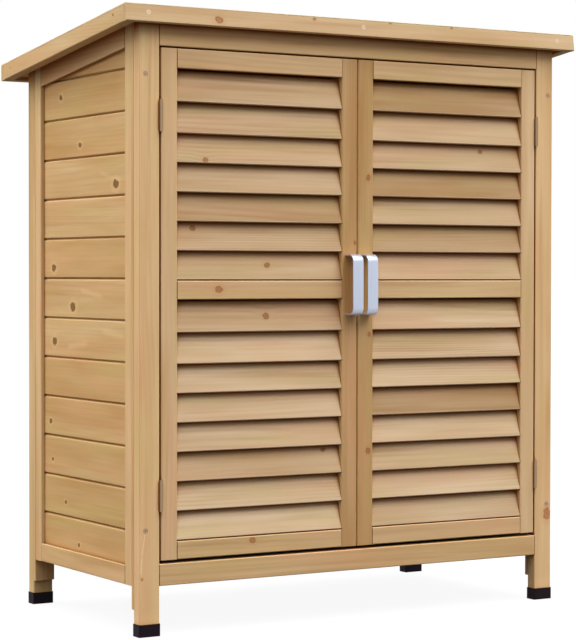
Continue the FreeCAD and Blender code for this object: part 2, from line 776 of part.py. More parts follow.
def plumb_cut(body, x0, width, bottom):
    """Cut off everything behind the upright front face of the back fascia."""
    low, high = f"{bottom} - {OVERSHOOT}", f"{FASCIA_TOP} + {OVERSHOOT}"
    far = f"{ROOF_LENGTH} + board_width + tongue_length"
    outline = [
        (plumb(BACK_FASCIA_START, low), low), (far, low),
        (far, high), (plumb(BACK_FASCIA_START, high), high),
    ]
    return pocket(body, "YZ", outline, x0, width)


def roof_front_fascia(label):
    body = new_body(label)
    outline = planed("0", "front_fascia_thickness", FASCIA_BOTTOM, FASCIA_TOP)
    pad(body, "YZ", outline, f"-{ROOF_HALF_WIDTH}", f"2 * {ROOF_HALF_WIDTH}")
    return roof_piece(body, label)


def roof_side_fascia(label):
    body = new_body(label)
    outline = planed(f"(-{ROOF_HALF_WIDTH})", f"(-{ROOF_BOARD_END})", FASCIA_BOTTOM, FASCIA_TOP)
    pad(body, "XZ", outline, "front_fascia_thickness", ROOF_LENGTH)
    plumb_cut(body, f"-{ROOF_HALF_WIDTH}", "side_fascia_thickness", FASCIA_BOTTOM)
    return roof_piece(body, label)


def roof_back_fascia(label):
    """Upright board across the ends of the side fascias."""
    body = new_body(label)
    outline = planed(BACK_FASCIA_START, ROOF_LENGTH, FASCIA_BOTTOM, FASCIA_TOP)
    outline = [(plumb(y, z), z) for y, z in outline]
    pad(body, "YZ", outline, f"-{ROOF_HALF_WIDTH}", f"2 * {ROOF_HALF_WIDTH}")
    return roof_piece(body, label)


def roof_boards(label):
    """Thick boards with their vees on the underside, between the fascias."""
    body = new_body(label)
    y0 = "front_fascia_thickness"
    section = board_section(y0, "board_width", "roof_board_vee", "roof_board_thickness")
    outline = [(along, f"-{ROOF_THICKNESS} + {depth}") for depth, along in section]
    count = board_count(y0, plumb(BACK_FASCIA_START, f"(-{ROOF_THICKNESS})"))
    board_row(body, outline, "YZ", f"-{ROOF_BOARD_END}", f"2 * {ROOF_BOARD_END}", "Y", count)
    plumb_cut(body, f"-{ROOF_BOARD_END}", f"2 * {ROOF_BOARD_END}", f"(-{ROOF_THICKNESS})")
    return roof_piece(body, label)


roof_felt("roof_felt")
roof_boards("roof_boards")
roof_front_fascia("roof_front_fascia")
roof_back_fascia("roof_back_fascia")
left_fascia = roof_side_fascia("roof_left_fascia")
right_hand(left_fascia, "roof_right_fascia")


# Louvred doors
SLAT_RISE = "(slat_width * cos(slat_lean))"
SLAT_DROP = "(slat_thickness * sin(slat_lean))"
TOP_REVEAL = f"({SLAT_RISE} + slat_top_clearance)"


def slat_point(front_edge, along, across):
    """Point of a leaning slat, from the lower edge of its front face."""
    y = f"slat_front + ({along}) * sin(slat_lean) + ({across}) * cos(slat_lean)"
    z = f"{front_edge} + ({along}) * cos(slat_lean) - ({across}) * sin(slat_lean)"
    return (y, z)


def slat_section(edge, ease):
    corners = planed("0", "slat_width", "0", "slat_thickness", ease)
    return [slat_point(edge, along, across) for along, across in corners]


def slot_section(edge):
    play = "slot_play"
    corners = rectangle(f"-{play}", f"slat_width + {play}", f"-{play}", f"slat_thickness + {play}")
    return [slat_point(edge, along, across) for along, across in corners]


def louvres(bottom, top, count):
    """Lower edge of the lowest slat, the even pitch, and the lower edge of the top slat."""
    first = f"({bottom} + {SLAT_DROP} + slat_seat)"
    last = f"({top} - {TOP_REVEAL})"
    pitch = f"(({last} - top_slat_lift - {first}) / ({count} - 1))"
    return first, pitch, last


SECTIONS = {
    "upper": louvres(MIDDLE_RAIL_TOP, TOP_RAIL_BOTTOM, "upper_slats"),
    "lower": louvres(BOTTOM_RAIL_TOP, MIDDLE_RAIL_BOTTOM, "lower_slats"),
}


def door_stile(label, x0, x1, slot_start):
    """Stile with a leaning slot for the end of each slat."""
    body = new_body(label)
    pad(body, "XY", planed(x0, x1, "0", "door_thickness"), DOOR_BOTTOM, "door_height")
    for name, (first, pitch, last) in SECTIONS.items():
        count = int(value(f"{name}_slats"))
        length = f"slot_depth + {OVERSHOOT}"
        slot = pocket(body, "YZ", slot_section(first), slot_start, length)
        repeat(body, [slot], "Z", f"{pitch} * {count - 2}", count - 1)
        pocket(body, "YZ", slot_section(last), slot_start, length)
    return finish(body, label)


def door_rail(label, bottom, top):
    body = new_body(label)
    outline = planed("0", "door_thickness", bottom, top)
    pad(body, "YZ", outline, f"-{OPENING_OUTER}", f"{OPENING_OUTER} - {OPENING_INNER}")
    return finish(body, label)


def door_slats(label, section):
    body = new_body(label)
    first, pitch, last = SECTIONS[section]
    count = int(value(f"{section}_slats"))
    seat = "(slot_depth - slot_end_gap)"
    start = f"-{OPENING_OUTER} - {seat}"
    length = f"{OPENING_OUTER} - {OPENING_INNER} + 2 * {seat}"
    slat = pad(body, "YZ", slat_section(first, "slat_ease"), start, length)
    repeat(body, [slat], "Z", f"{pitch} * {count - 2}", count - 1)
    doc.recompute()
    pad(body, "YZ", slat_section(last, "slat_ease"), start, length)
    return finish(body, label)


def edges_at(shape, corners):
    """Names of the edges along X that pass through the given (y, z) corners."""
    names = []
    for index, edge in enumerate(shape.Edges, start=1):
        start, end = (vertex.Point for vertex in (edge.Vertexes[0], edge.Vertexes[-1]))
        along_x = abs(start.y - end.y) < 1e-6 and abs(start.z - end.z) < 1e-6
        near = any(math.hypot(start.y - y, start.z - z) < 1e-4 for y, z in corners)
        if along_x and near:
            names.append(f"Edge{index}")
    return names


def round_edges(body, base, corners, radius):
    doc.recompute()
    fillet = body.newObject("PartDesign::Fillet", "Bend")
    places = [(value(y), value(z)) for y, z in corners]
    fillet.Base = (base, edges_at(base.Shape, places))
    bind(fillet, "Radius", radius)
    return fillet


def handle(label):
    """Flat bar bent into a bow, its two ends butted on the door's face."""
    body = new_body(label)
    low = f"({DOOR_BOTTOM} + handle_level - handle_length / 2)"
    high = f"({low} + handle_length)"
    out = "(-handle_reach)"
    grip = "(-handle_reach + handle_thickness)"
    under_high = f"({high} - handle_thickness)"
    over_low = f"({low} + handle_thickness)"
    outline = [
        ("0", low), (out, low), (out, high), ("0", high),
        ("0", under_high), (grip, under_high), (grip, over_low), ("0", over_low),
    ]
    x0 = f"(-{DOOR_INNER} - handle_edge_offset - handle_width)"
    bar = pad(body, "YZ", outline, x0, "handle_width")
    outer = round_edges(body, bar, [(out, low), (out, high)], "handle_bend")
    inner_radius = "handle_bend - handle_thickness"
    round_edges(body, outer, [(grip, under_high), (grip, over_low)], inner_radius)
    return finish(body, label)


def strike_plate(label):
    plate = doc.addObject("Part::Box", label)
    bind(plate, "Length", "strike_width")
    bind(plate, "Width", "strike_thickness")
    bind(plate, "Height", "strike_height")
    bind(plate, "Placement.Base.x", "-nose_spacing / 2 - strike_width / 2")
    bind(plate, "Placement.Base.z", f"{NOSE_LEVEL} - strike_height / 2")
    finish(plate, label)
    bind(plate, "Placement.Base.y", f"{ORIGIN_SHIFT} + door_thickness")
    return plate


STOP_BOTTOM = f"({HEADER_BOTTOM} - stop_drop)"
CATCH_BOTTOM = f"({STOP_BOTTOM} + catch_overlap - catch_height)"
NOSE_LEVEL = f"({STOP_BOTTOM} - (catch_height - catch_overlap) / 2)"

left_door = [
    door_stile(
        "left_door_hinge_stile", f"(-{DOOR_OUTER})", f"(-{OPENING_OUTER})",
        f"(-{OPENING_OUTER} - slot_depth)",
    ),
    door_stile(
        "left_door_meeting_stile", f"(-{OPENING_INNER})", f"(-{DOOR_INNER})",
        f"(-{OPENING_INNER} - {OVERSHOOT})",
    ),
    door_rail("left_door_top_rail", TOP_RAIL_BOTTOM, DOOR_TOP),
    door_rail("left_door_middle_rail", MIDDLE_RAIL_BOTTOM, MIDDLE_RAIL_TOP),
    door_rail("left_door_bottom_rail", DOOR_BOTTOM, BOTTOM_RAIL_TOP),
    door_slats("left_door_upper_slats", "upper"),
    door_slats("left_door_lower_slats", "lower"),
    handle("left_door_handle"),
    strike_plate("left_door_strike_plate"),
]
for piece in left_door:
    right_hand(piece, piece.Label.replace("left", "right"))


# Door stop behind the header, with the double magnetic catch on its back
def door_stop(label):
    body = new_body(label)
    y1 = PANEL_FRONT
    outline = [
        ("post_depth", STOP_BOTTOM), (y1, STOP_BOTTOM),
        (y1, roof_under(y1)), ("post_depth", roof_under("post_depth")),
    ]
    pad(body, "YZ", outline, f"-{POST_INNER}", f"2 * {POST_INNER}")
    return finish(body, label)


def magnetic_catch(label):
    body = new_body(label)
    y0 = PANEL_FRONT
    outline = planed("(-catch_width / 2)", "(catch_width / 2)", y0, f"({y0} + catch_depth)")
    pad(body, "XY", outline, CATCH_BOTTOM, "catch_height")
    nose_front = "(door_thickness + strike_thickness + nose_gap)"
    low = f"({NOSE_LEVEL} - nose_height / 2)"
    for side in (-1, 1):
        x0 = f"({side} * nose_spacing / 2 - nose_width / 2)"
        nose = rectangle(x0, f"{x0} + nose_width", nose_front, f"{y0} + {OVERSHOOT}")
        doc.recompute()
        pad(body, "XY", nose, low, "nose_height")
    return finish(body, label)


door_stop("door_stop")
magnetic_catch("magnetic_catch")


# Butt hinges
# The post leaf has the end and middle knuckles, the door leaf the two between them.
def hinge_leaf(name, x0, first, count):
    """Leaf of the lower left hinge, with every second knuckle from the given one."""
    body = new_body(name)
    x1 = f"{x0} + leaf_thickness"
    clear = f"({HINGE_Y} + knuckle_radius + knuckle_clearance)"
    bite = f"({HINGE_Y} + (knuckle_radius + pin_radius + pin_clearance) / 2)"
    z0 = f"({LOWER_HINGE_BOTTOM} + {first} * {KNUCKLE_LENGTH} + knuckle_clearance / 2)"
    height = f"({KNUCKLE_LENGTH} - knuckle_clearance)"
    pad(body, "XY", rectangle(x0, x1, clear, f"{clear} + leaf_width"), LOWER_HINGE_BOTTOM, "hinge_length")
    doc.recompute()
    tab = pad(body, "XY", rectangle(x0, x1, bite, f"{clear} + edge_ease"), z0, height)
    doc.recompute()
    sketch = new_sketch(body, "XY", z0)
    draw_circle(sketch, HINGE_X, HINGE_Y, "knuckle_radius")
    draw_circle(sketch, HINGE_X, HINGE_Y, "pin_radius + pin_clearance")
    knuckle = body.newObject("PartDesign::Pad", "Knuckle")
    knuckle.Profile = sketch
    bind(knuckle, "Length", height)
    doc.recompute()
    repeat(body, [tab, knuckle], "Z", f"{2 * (count - 1)} * {KNUCKLE_LENGTH}", count)
    return body


def hinge_pin():
    """Pin with a shallow head at each end of the knuckles."""
    body = new_body("hinge_pin")
    low = LOWER_HINGE_BOTTOM
    high = f"({low} + hinge_length)"
    sketch = body.newObject("Sketcher::SketchObject", "Profile")
    sketch.AttachmentSupport = [(origin_item(body, "XZ_Plane"), "")]
    sketch.MapMode = "FlatFace"
    bind(sketch, "AttachmentOffset.Base.x", HINGE_X)
    bind(sketch, "AttachmentOffset.Base.z", f"-({HINGE_Y})")
    draw(sketch, [
        ("0", f"{low} - pin_head_height"), ("pin_head_radius", f"{low} - pin_head_height / 2"),
        ("pin_head_radius", low), ("pin_radius", low), ("pin_radius", high),
        ("pin_head_radius", high), ("pin_head_radius", f"{high} + pin_head_height / 2"),
        ("0", f"{high} + pin_head_height"),
    ])
    pin = body.newObject("PartDesign::Revolution", "Pin")
    pin.Profile = sketch
    pin.ReferenceAxis = (sketch, ["V_Axis"])
    pin.Angle = 360
    return body


both_heights = ("z", HINGE_MIDDLE)
both_sides = ("x", "0")
post_leaf = hinge_leaf("post_leaf", f"(-{POST_INNER})", 0, 3)
finish(mirrored_set(post_leaf, "hinge_post_leaves", [both_heights, both_sides]), "hinge_post_leaves")
finish(mirrored_set(hinge_pin(), "hinge_pins", [both_heights, both_sides]), "hinge_pins")
door_leaf = hinge_leaf("door_leaf", f"(-{DOOR_OUTER} - leaf_thickness)", 1, 2)
left_leaves = mirrored_set(door_leaf, "left_door_hinge_leaves", [both_heights])
finish(left_leaves, "left_door_hinge_leaves")
right_hand(left_leaves, "right_door_hinge_leaves")


# Countersunk screws through posts and strips into the side panels' stiles
def frame_screws():
    rows = []
    for y_face, inward in (("0", 1), ("body_depth", -1)):
        body = new_body("frame_screw")
        turned(body, "Revolution", screw_profile("0"), SCREW_X, y_face, LOWER_SCREW, inward)
        rows.append(mirrored_set(body, "screw_set", [("z", SCREW_MIDDLE), both_sides]))
    group = doc.addObject("Part::Compound", "frame_screws")
    group.Links = rows
    return finish(group, "frame_screws")


frame_screws()


# Check every object, then write one file for each piece
doc.recompute()
for item in doc.Objects:
    if "Invalid" in item.State or "Error" in item.State:
        raise RuntimeError(f"{item.Name} ({item.Label}) failed: {item.State}")

os.makedirs("parts", exist_ok=True)
whole = FreeCAD.BoundBox()
for piece in pieces:
    shape = piece.Shape
    if shape.isNull() or not shape.isValid():
        raise RuntimeError(f"{piece.Label} has no valid shape")
    shape.exportStep(f"parts/{piece.Label}.step")
    whole.add(shape.BoundBox)
    print(f"{piece.Label}: {len(shape.Solids)} solids, {shape.Volume / 1000:.1f} cm3")
print(f"{len(pieces)} nodes, overall {whole.XLength:.1f} x {whole.YLength:.1f} x {whole.ZLength:.1f} mm")
print(f"centre {whole.Center.x:.2f}, {whole.Center.y:.2f}, lowest {whole.ZMin:.2f}")
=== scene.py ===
# %% [markdown]
# # A louvred garden cabinet
# This lesson dresses a cabinet of pale, clear-stained softwood: two louvred doors, boarded side
# walls and a felted roof that falls to the back. The solid pieces come in as a fixed frame, one
# object for each piece. They could be modelled again here, but their joints and hinges already
# fit, so the lesson keeps them, gives each its finish, and adds what they lack: slats with
# rounded edges, bent handles, screw heads and nails.

# %% Load the frame
import math

import bpy
from mathutils import Matrix, Vector


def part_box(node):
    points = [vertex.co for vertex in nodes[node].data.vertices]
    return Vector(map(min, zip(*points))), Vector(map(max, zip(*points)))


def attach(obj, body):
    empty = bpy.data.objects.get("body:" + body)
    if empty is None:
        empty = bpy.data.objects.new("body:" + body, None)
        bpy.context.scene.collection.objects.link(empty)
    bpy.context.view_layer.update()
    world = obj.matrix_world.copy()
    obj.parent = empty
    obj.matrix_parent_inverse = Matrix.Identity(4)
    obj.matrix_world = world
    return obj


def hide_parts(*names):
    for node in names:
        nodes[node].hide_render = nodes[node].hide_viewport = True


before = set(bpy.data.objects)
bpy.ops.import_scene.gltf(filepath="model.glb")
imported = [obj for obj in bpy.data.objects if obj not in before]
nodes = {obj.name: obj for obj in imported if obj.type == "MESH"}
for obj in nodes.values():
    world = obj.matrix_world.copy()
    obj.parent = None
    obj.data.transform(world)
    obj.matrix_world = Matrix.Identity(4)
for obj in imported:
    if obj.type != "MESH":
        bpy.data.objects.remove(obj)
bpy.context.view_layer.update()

# %% [markdown]
# ## Camera
# The cabinet is seen from its front left with a long lens, from a little above half its height.
# A camera can be aimed by eye, but the edges in a photograph fix it: lines that are parallel on
# the cabinet meet at vanishing points, which give the lens and the way the camera looks.

# %% Set the camera
LENS_MM, SENSOR_MM = 120.67, 36
CAMERA_PLACE = (-1.90045, -3.15137, 0.56110)
YAW, PITCH, ROLL = (math.radians(angle) for angle in (31.044, -1.238, 0.068))


def add_object(name, data):
    """Put a mesh, a lamp or a camera into the scene."""
    thing = bpy.data.objects.new(name, data)
    bpy.context.scene.collection.objects.link(thing)
    return thing


camera_data = bpy.data.cameras.new("camera")
camera_data.lens = LENS_MM
camera_data.sensor_width = SENSOR_MM
camera = add_object("camera", camera_data)
bpy.context.scene.camera = camera

flat = math.cos(PITCH)
ahead = Vector((math.sin(YAW) * flat, math.cos(YAW) * flat, math.sin(PITCH)))
level = Vector((math.cos(YAW), -math.sin(YAW), 0))
upright = level.cross(ahead)
right = level * math.cos(ROLL) + upright * math.sin(ROLL)
up = right.cross(ahead)
turned = Matrix((right, up, -ahead)).transposed().to_4x4()
camera.matrix_world = Matrix.Translation(CAMERA_PLACE) @ turned
print("camera looks", [round(number, 3) for number in ahead])

# %% [markdown]
# ## Light
# The photograph's light is soft and high: the header under the roof's edge is almost black at the
# top and brightens over 35 mm. The left side is as bright as the front, and yet the small faces
# that look to the front left, such as the edges around the sunk boards, are dark. So one large
# lamp stands to the right of the camera, and two behind the cabinet's left corner light that side
# alone. A bright ceiling gives the rest. Rays from the camera see world and floor as plain white,
# through the Light Path node, so the ground stays white without more light on the wood.

# %% Hang the soft lamps and set the world
AIM = Vector((0, 0, 0.5))


def lamp(name, azimuth, height, power, distance=3.6, width=2.8):
    """Square lamp at a compass angle and a height angle from the cabinet, aimed at its middle."""
    turn, lift = math.radians(azimuth), math.radians(height)
    flat = math.cos(lift)
    way = Vector((math.sin(turn) * flat, -math.cos(turn) * flat, math.sin(lift)))
    data = bpy.data.lights.new(name, "AREA")
    data.size = width
    data.energy = power
    light = add_object(name, data)
    light.location = AIM + way * distance
    light.rotation_euler = (-way).to_track_quat("-Z", "Y").to_euler()
    return light


lamps = [
    lamp("right_lamp", azimuth=30, height=55, power=340, distance=6.5, width=5.0),
    lamp("back_left_lamp", azimuth=-120, height=45, power=70),
    lamp("low_left_lamp", azimuth=-120, height=20, power=22),
]

world = bpy.data.worlds.new("studio")
world.use_nodes = True
bpy.context.scene.world = world
bpy.context.scene.view_settings.view_transform = "Standard"
print("lamps:", ", ".join(light.name for light in lamps))

# %% [markdown]
# ## Helpers for node trees
# Every finish and every repeated piece below is a tree of nodes. Written out in full, each node
# takes several lines, so a small recipe class adds one node in one line: a value that is a
# socket is linked, and any other value is set.

# %% Recipe for node trees
class Recipe:
    """Adds nodes to one tree."""

    def __init__(self, tree):
        self.tree = tree

    def add(self, kind, inputs=None, **settings):
        node = self.tree.nodes.new(kind)
        for name, value in settings.items():
            setattr(node, name, value)
        for key, value in (inputs or {}).items():
            if isinstance(value, bpy.types.NodeSocket):
                self.tree.links.new(value, node.inputs[key])
            else:
                node.inputs[key].default_value = value
        return node

    def get(self, kind, inputs=None, **settings):
        """Add a node and return its first output."""
        return self.add(kind, inputs, **settings).outputs[0]

    def math(self, operation, *values):
        return self.get("ShaderNodeMath", dict(enumerate(values)), operation=operation)

    def vector(self, operation, *values):
        return self.get("ShaderNodeVectorMath", dict(enumerate(values)), operation=operation)

    def combine(self, x, y, z):
        return self.get("ShaderNodeCombineXYZ", {0: x, 1: y, 2: z})

    def split(self, vector):
        return self.add("ShaderNodeSeparateXYZ", {0: vector}).outputs

    def split_colour(self, colour):
        return self.add("ShaderNodeSeparateColor", {0: colour}).outputs

    def place(self, kind):
        """Where the point is, or with kind Normal, which way its face looks."""
        return self.add("ShaderNodeTexCoord").outputs[kind]

    def attribute(self, name):
        return self.add("ShaderNodeAttribute", attribute_name=name).outputs["Fac"]

    def noise(self, vector, scale, detail=2.0, roughness=0.5):
        inputs = {"Vector": vector, "Scale": scale, "Detail": detail, "Roughness": roughness}
        return self.add("ShaderNodeTexNoise", inputs).outputs["Fac"]

    def spread(self, value, low, high, to_low=0.0, to_high=1.0, smooth=True):
        """Map a value's range to another one, smoothly and without overshoot."""
        kind = "SMOOTHSTEP" if smooth else "LINEAR"
        inputs = {"Value": value, "From Min": low, "From Max": high,
                  "To Min": to_low, "To Max": to_high}
        return self.add("ShaderNodeMapRange", inputs, interpolation_type=kind).outputs["Result"]

    def mix(self, factor, first, second, blend="MIX"):
        inputs = {0: factor, 6: first, 7: second}
        return self.add("ShaderNodeMix", inputs, data_type="RGBA", blend_type=blend).outputs[2]

    def surface(self, colour, rough, height, strength, distance):
        """Principled shader over a bump, joined to the material's output."""
        bump = self.get("ShaderNodeBump", {
            "Strength": strength, "Distance": distance, "Height": height})
        shader = self.add("ShaderNodeBsdfPrincipled", {
            "Base Color": colour, "Roughness": rough, "Normal": bump})
        self.add("ShaderNodeOutputMaterial", {"Surface": shader.outputs[0]})
        return shader


def rgb(red, green, blue):
    """A colour as a paint chart gives it, 0 to 255, for a node's socket."""
    def straight(level):
        level /= 255
        return level / 12.92 if level <= 0.04045 else ((level + 0.055) / 1.055) ** 2.4

    return (straight(red), straight(green), straight(blue), 1.0)


def empty_material(name):
    material = bpy.data.materials.new(name)
    material.use_nodes = True
    material.node_tree.nodes.clear()
    return material, Recipe(material.node_tree)


print("pale pine is", [round(part, 3) for part in rgb(215, 180, 135)[:3]])

# %% World and floor
WHITE = (1, 1, 1, 1)
WALL_LIGHT, CEILING_LIGHT = 0.64, 3.1
CEILING_STARTS, CEILING_FULL = 0.54, 0.75
FLOOR_REACH, FLOOR_LEVEL, FLOOR_GLOW = 40, -0.0005, 0.93


def seen_directly(recipe):
    """1 for rays from the camera, mirror-like or through glass, and 0 for the light itself."""
    path = recipe.add("ShaderNodeLightPath").outputs
    found = recipe.math("MAXIMUM", path["Is Camera Ray"], path["Is Glossy Ray"])
    return recipe.math("MAXIMUM", found, path["Is Transmission Ray"])


tree = Recipe(world.node_tree)
world.node_tree.nodes.clear()
upward = tree.split(tree.place("Generated"))[2]
room = tree.spread(upward, CEILING_STARTS, CEILING_FULL, WALL_LIGHT, CEILING_LIGHT)
direct = seen_directly(tree)
strength = tree.math("MULTIPLY_ADD", tree.math("SUBTRACT", 1.0, direct), room, direct)
sky = tree.get("ShaderNodeBackground", {"Color": WHITE, "Strength": strength})
tree.add("ShaderNodeOutputWorld", {"Surface": sky})

floor_mesh = bpy.data.meshes.new("floor")
floor_mesh.from_pydata([(x * FLOOR_REACH, y * FLOOR_REACH, 0) for x, y in (
    (-1, -1), (1, -1), (1, 1), (-1, 1))], [], [(0, 1, 2, 3)])
floor = add_object("floor", floor_mesh)
floor.location.z = FLOOR_LEVEL
material, tree = empty_material("floor_paper")
paper = tree.get("ShaderNodeBsdfDiffuse", {"Color": (0.05, 0.05, 0.05, 1)})
brightness = tree.math("MULTIPLY", seen_directly(tree), FLOOR_GLOW)
glow = tree.get("ShaderNodeEmission", {"Color": WHITE, "Strength": brightness})
tree.add("ShaderNodeOutputMaterial", {
    "Surface": tree.get("ShaderNodeAddShader", {0: paper, 1: glow})})
floor_mesh.materials.append(material)
print("floor and world are white to the camera, and the ceiling lights with", CEILING_LIGHT)

# %% [markdown]
# ## Softwood
# Planed fir is honey-coloured, with growth rings that run along the board as soft bands, finer
# streaks between them, brown knots that push the bands aside, and a tone of its own on each
# board. An image of wood would stretch and repeat. Here the pattern is worked out from Object
# coordinates in metres, so it has the same scale on every piece: sine bands for the rings, bent
# by noise and by the knots, and stretched noise for the streaks. Each board in a row gets its
# number from its place, and the number shifts its pattern and its tone.

# %% Knot node group
KNOT_SQUEEZE = 0.8  # along the grain, so a knot is a little longer than it is wide


def knot_group():
    """How far a point is from one knot, in knot radii: 1 is the knot's edge."""
    group = bpy.data.node_groups.new("one_knot", "ShaderNodeTree")
    for name in ("Along", "Across", "At along", "At across", "Radius"):
        group.interface.new_socket(name, in_out="INPUT", socket_type="NodeSocketFloat")
    group.interface.new_socket("Distance", in_out="OUTPUT", socket_type="NodeSocketFloat")
    recipe = Recipe(group)
    given = recipe.add("NodeGroupInput").outputs
    along = recipe.math("SUBTRACT", given["Along"], given["At along"])
    across = recipe.math("SUBTRACT", given["Across"], given["At across"])
    shift = recipe.combine(recipe.math("MULTIPLY", along, KNOT_SQUEEZE), across, 0.0)
    length = recipe.add("ShaderNodeVectorMath", {0: shift}, operation="LENGTH").outputs["Value"]
    recipe.add("NodeGroupOutput", {"Distance": recipe.math("DIVIDE", length, given["Radius"])})
    return group


one_knot = knot_group()
print("knot group has", len(one_knot.nodes), "nodes")

# %% Where a point lies in its board
AXES = {"x": 0, "y": 1, "z": 2}
JUMP_ALONG, JUMP_DEEP = 9.0, 3.0  # metres by which a board's pattern may be shifted


class BoardRecipe(Recipe):
    """Recipe for wood. It knows each point's board and its place in it, and holds the colour."""

    def __init__(self, tree, along, across, seed, row, marked):
        super().__init__(tree)
        parts, looks = self.split(self.place("Object")), self.split(self.place("Normal"))
        deep = ({0, 1, 2} - {AXES[along], AXES[across]}).pop()
        self.grain, self.cross, self.depth = parts[AXES[along]], parts[AXES[across]], parts[deep]
        self.looks_along, self.looks_across = looks[AXES[along]], looks[AXES[across]]
        self.looks_up = looks[2]
        self.colour = None
        if row:
            start, width = row
            self.rows_up = self.math("DIVIDE", self.math("SUBTRACT", self.cross, start), width)
            self.index = self.math("FLOOR", self.rows_up)
        elif marked:
            self.index = self.attribute("board")
        else:
            self.index = self.math("MULTIPLY", self.cross, 0.0)
        board = self.math("ADD", self.index, seed)
        chance = self.add("ShaderNodeTexWhiteNoise", {"W": board}, noise_dimensions="1D").outputs
        self.lots = self.split_colour(chance["Color"])
        self.moved = self.math("MULTIPLY_ADD", self.lots[0], JUMP_ALONG, self.grain)
        self.point = self.combine(self.moved, self.cross, self.math(
            "MULTIPLY_ADD", self.lots[1], JUMP_DEEP, self.depth))

    def grainy(self, along, across, detail, roughness=0.5, shift=0.0):
        """Noise with one scale along the grain and another across it."""
        scaled = self.vector("MULTIPLY", self.point, (along, across, across))
        if shift:
            scaled = self.vector("ADD", scaled, (shift, shift, shift))
        return self.noise(scaled, 1.0, detail, roughness)

    def coat(self, paint, mask, strength=1.0):
        """Lay a colour over the wood where the mask is 1."""
        factor = mask if strength == 1.0 else self.math("MULTIPLY", mask, strength)
        self.colour = self.mix(factor, self.colour, rgb(*paint))

    def tint(self, by, factor=1.0):
        """Multiply the wood's colour."""
        tinted = self.mix(1.0, self.colour, by, "MULTIPLY")
        self.colour = tinted if factor == 1.0 else self.mix(factor, self.colour, tinted)


print("a board's pattern jumps up to", JUMP_ALONG, "m along the grain")

# %% Knots by chance and known knots
CELL = (0.22, 0.075, 1.0)  # a cell of the wood holds one knot where the dice allow it
FAR = 30.0  # knot radii by which a knot that isn't allowed is put away
WOBBLE = 0.9


def nearest_knot(tree, knots, knotty):
    """Distance to the nearest knot in its own radii, with an uneven edge."""
    cells = tree.add("ShaderNodeTexVoronoi", {
        "Vector": tree.vector("DIVIDE", tree.combine(tree.moved, tree.cross, 0.0), CELL),
        "Scale": 1.0, "Randomness": 0.8}, voronoi_dimensions="2D").outputs
    centre = tree.split(tree.vector("MULTIPLY", cells["Position"], CELL))
    dice = tree.split_colour(cells["Color"])

    def distance(along, at_along, at_across, radius):
        return tree.get("ShaderNodeGroup", {
            "Along": along, "Across": tree.cross, "At along": at_along, "At across": at_across,
            "Radius": radius}, node_tree=one_knot)

    radius = tree.math("MULTIPLY_ADD", dice[1], 0.002, 0.002)
    nearest = distance(tree.moved, centre[0], centre[1], radius)
    nearest = tree.math("MULTIPLY_ADD", tree.math("GREATER_THAN", dice[0], knotty), FAR, nearest)
    for at_along, at_across, radius in knots:
        known = distance(tree.grain, at_along, at_across, radius)
        nearest = tree.math("MINIMUM", nearest, known)
    edge = tree.math("MULTIPLY_ADD", tree.grainy(160, 160, 1.0), WOBBLE, -WOBBLE / 2)
    return tree.math("ADD", nearest, edge)


print("knots by chance: one to a cell of", CELL[:2], "m")

# %% Growth rings and lines
FULL_TURN = 6.2832
RING_COUNTS = (60, 210)  # rings to a metre on a slow board and on a fast one


def growth_lines(tree, knot, streaky):
    """Faint growth rings that knots push aside, uneven dark lines, and fine streaks."""
    closeness = tree.spread(tree.lots[1], 0, 1, *RING_COUNTS, smooth=False)
    phase = tree.math("MULTIPLY", tree.math("ADD", tree.cross, tree.depth), closeness)
    phase = tree.math("MULTIPLY_ADD", tree.grainy(1.1, 8, 1.5), 9.0, phase)
    phase = tree.math("MULTIPLY_ADD", tree.spread(knot, 6.0, 0.5), 0.5, phase)
    wave = tree.math("SINE", tree.math("MULTIPLY", phase, FULL_TURN))
    rings = tree.math("POWER", tree.math("MULTIPLY_ADD", wave, 0.5, 0.5), 1.8)
    clear = tree.spread(tree.grainy(2.2, 13, 1.0, shift=4.0), 0.42, 0.66)
    rings = tree.math("MULTIPLY", rings, tree.math("MULTIPLY_ADD", clear, streaky, 0.03))
    uneven = tree.spread(tree.grainy(2.4, 95, 3.0, 0.55, shift=1.7), 0.46, 0.72)
    patch = tree.spread(tree.grainy(1.6, 11, 1.0, shift=9.1), 0.38, 0.62)
    uneven = tree.math("MULTIPLY", uneven, tree.math("MULTIPLY_ADD", patch, 0.85, 0.15))
    streaks = tree.spread(tree.grainy(5, 210, 3.0, 0.6), 0.3, 0.75)
    return rings, uneven, streaks


print("rings to a metre:", RING_COUNTS)

# %% Tone of each board
def board_tone(tree, tone, row, tones, marked):
    """Tone by board: from a list, from the piece's own attribute, or by chance about one tone."""
    if tones:
        ramp = tree.add("ShaderNodeValToRGB", {0: tree.math("DIVIDE", tree.math(
            "ADD", tree.index, 0.5), len(tones))})
        ramp.color_ramp.interpolation = "CONSTANT"
        stops = ramp.color_ramp.elements
        for number, level in enumerate(tones):
            stop = stops[0] if number == 0 else stops.new(number / len(tones))
            stop.color = (level, level, level, 1)
        stops.remove(stops[len(tones)])
        return ramp.outputs[0]
    if marked:
        return tree.attribute("tone")
    varies = 0.24 if row else 0.1
    return tree.math("MULTIPLY_ADD", tree.lots[2], varies, tone - varies / 2)


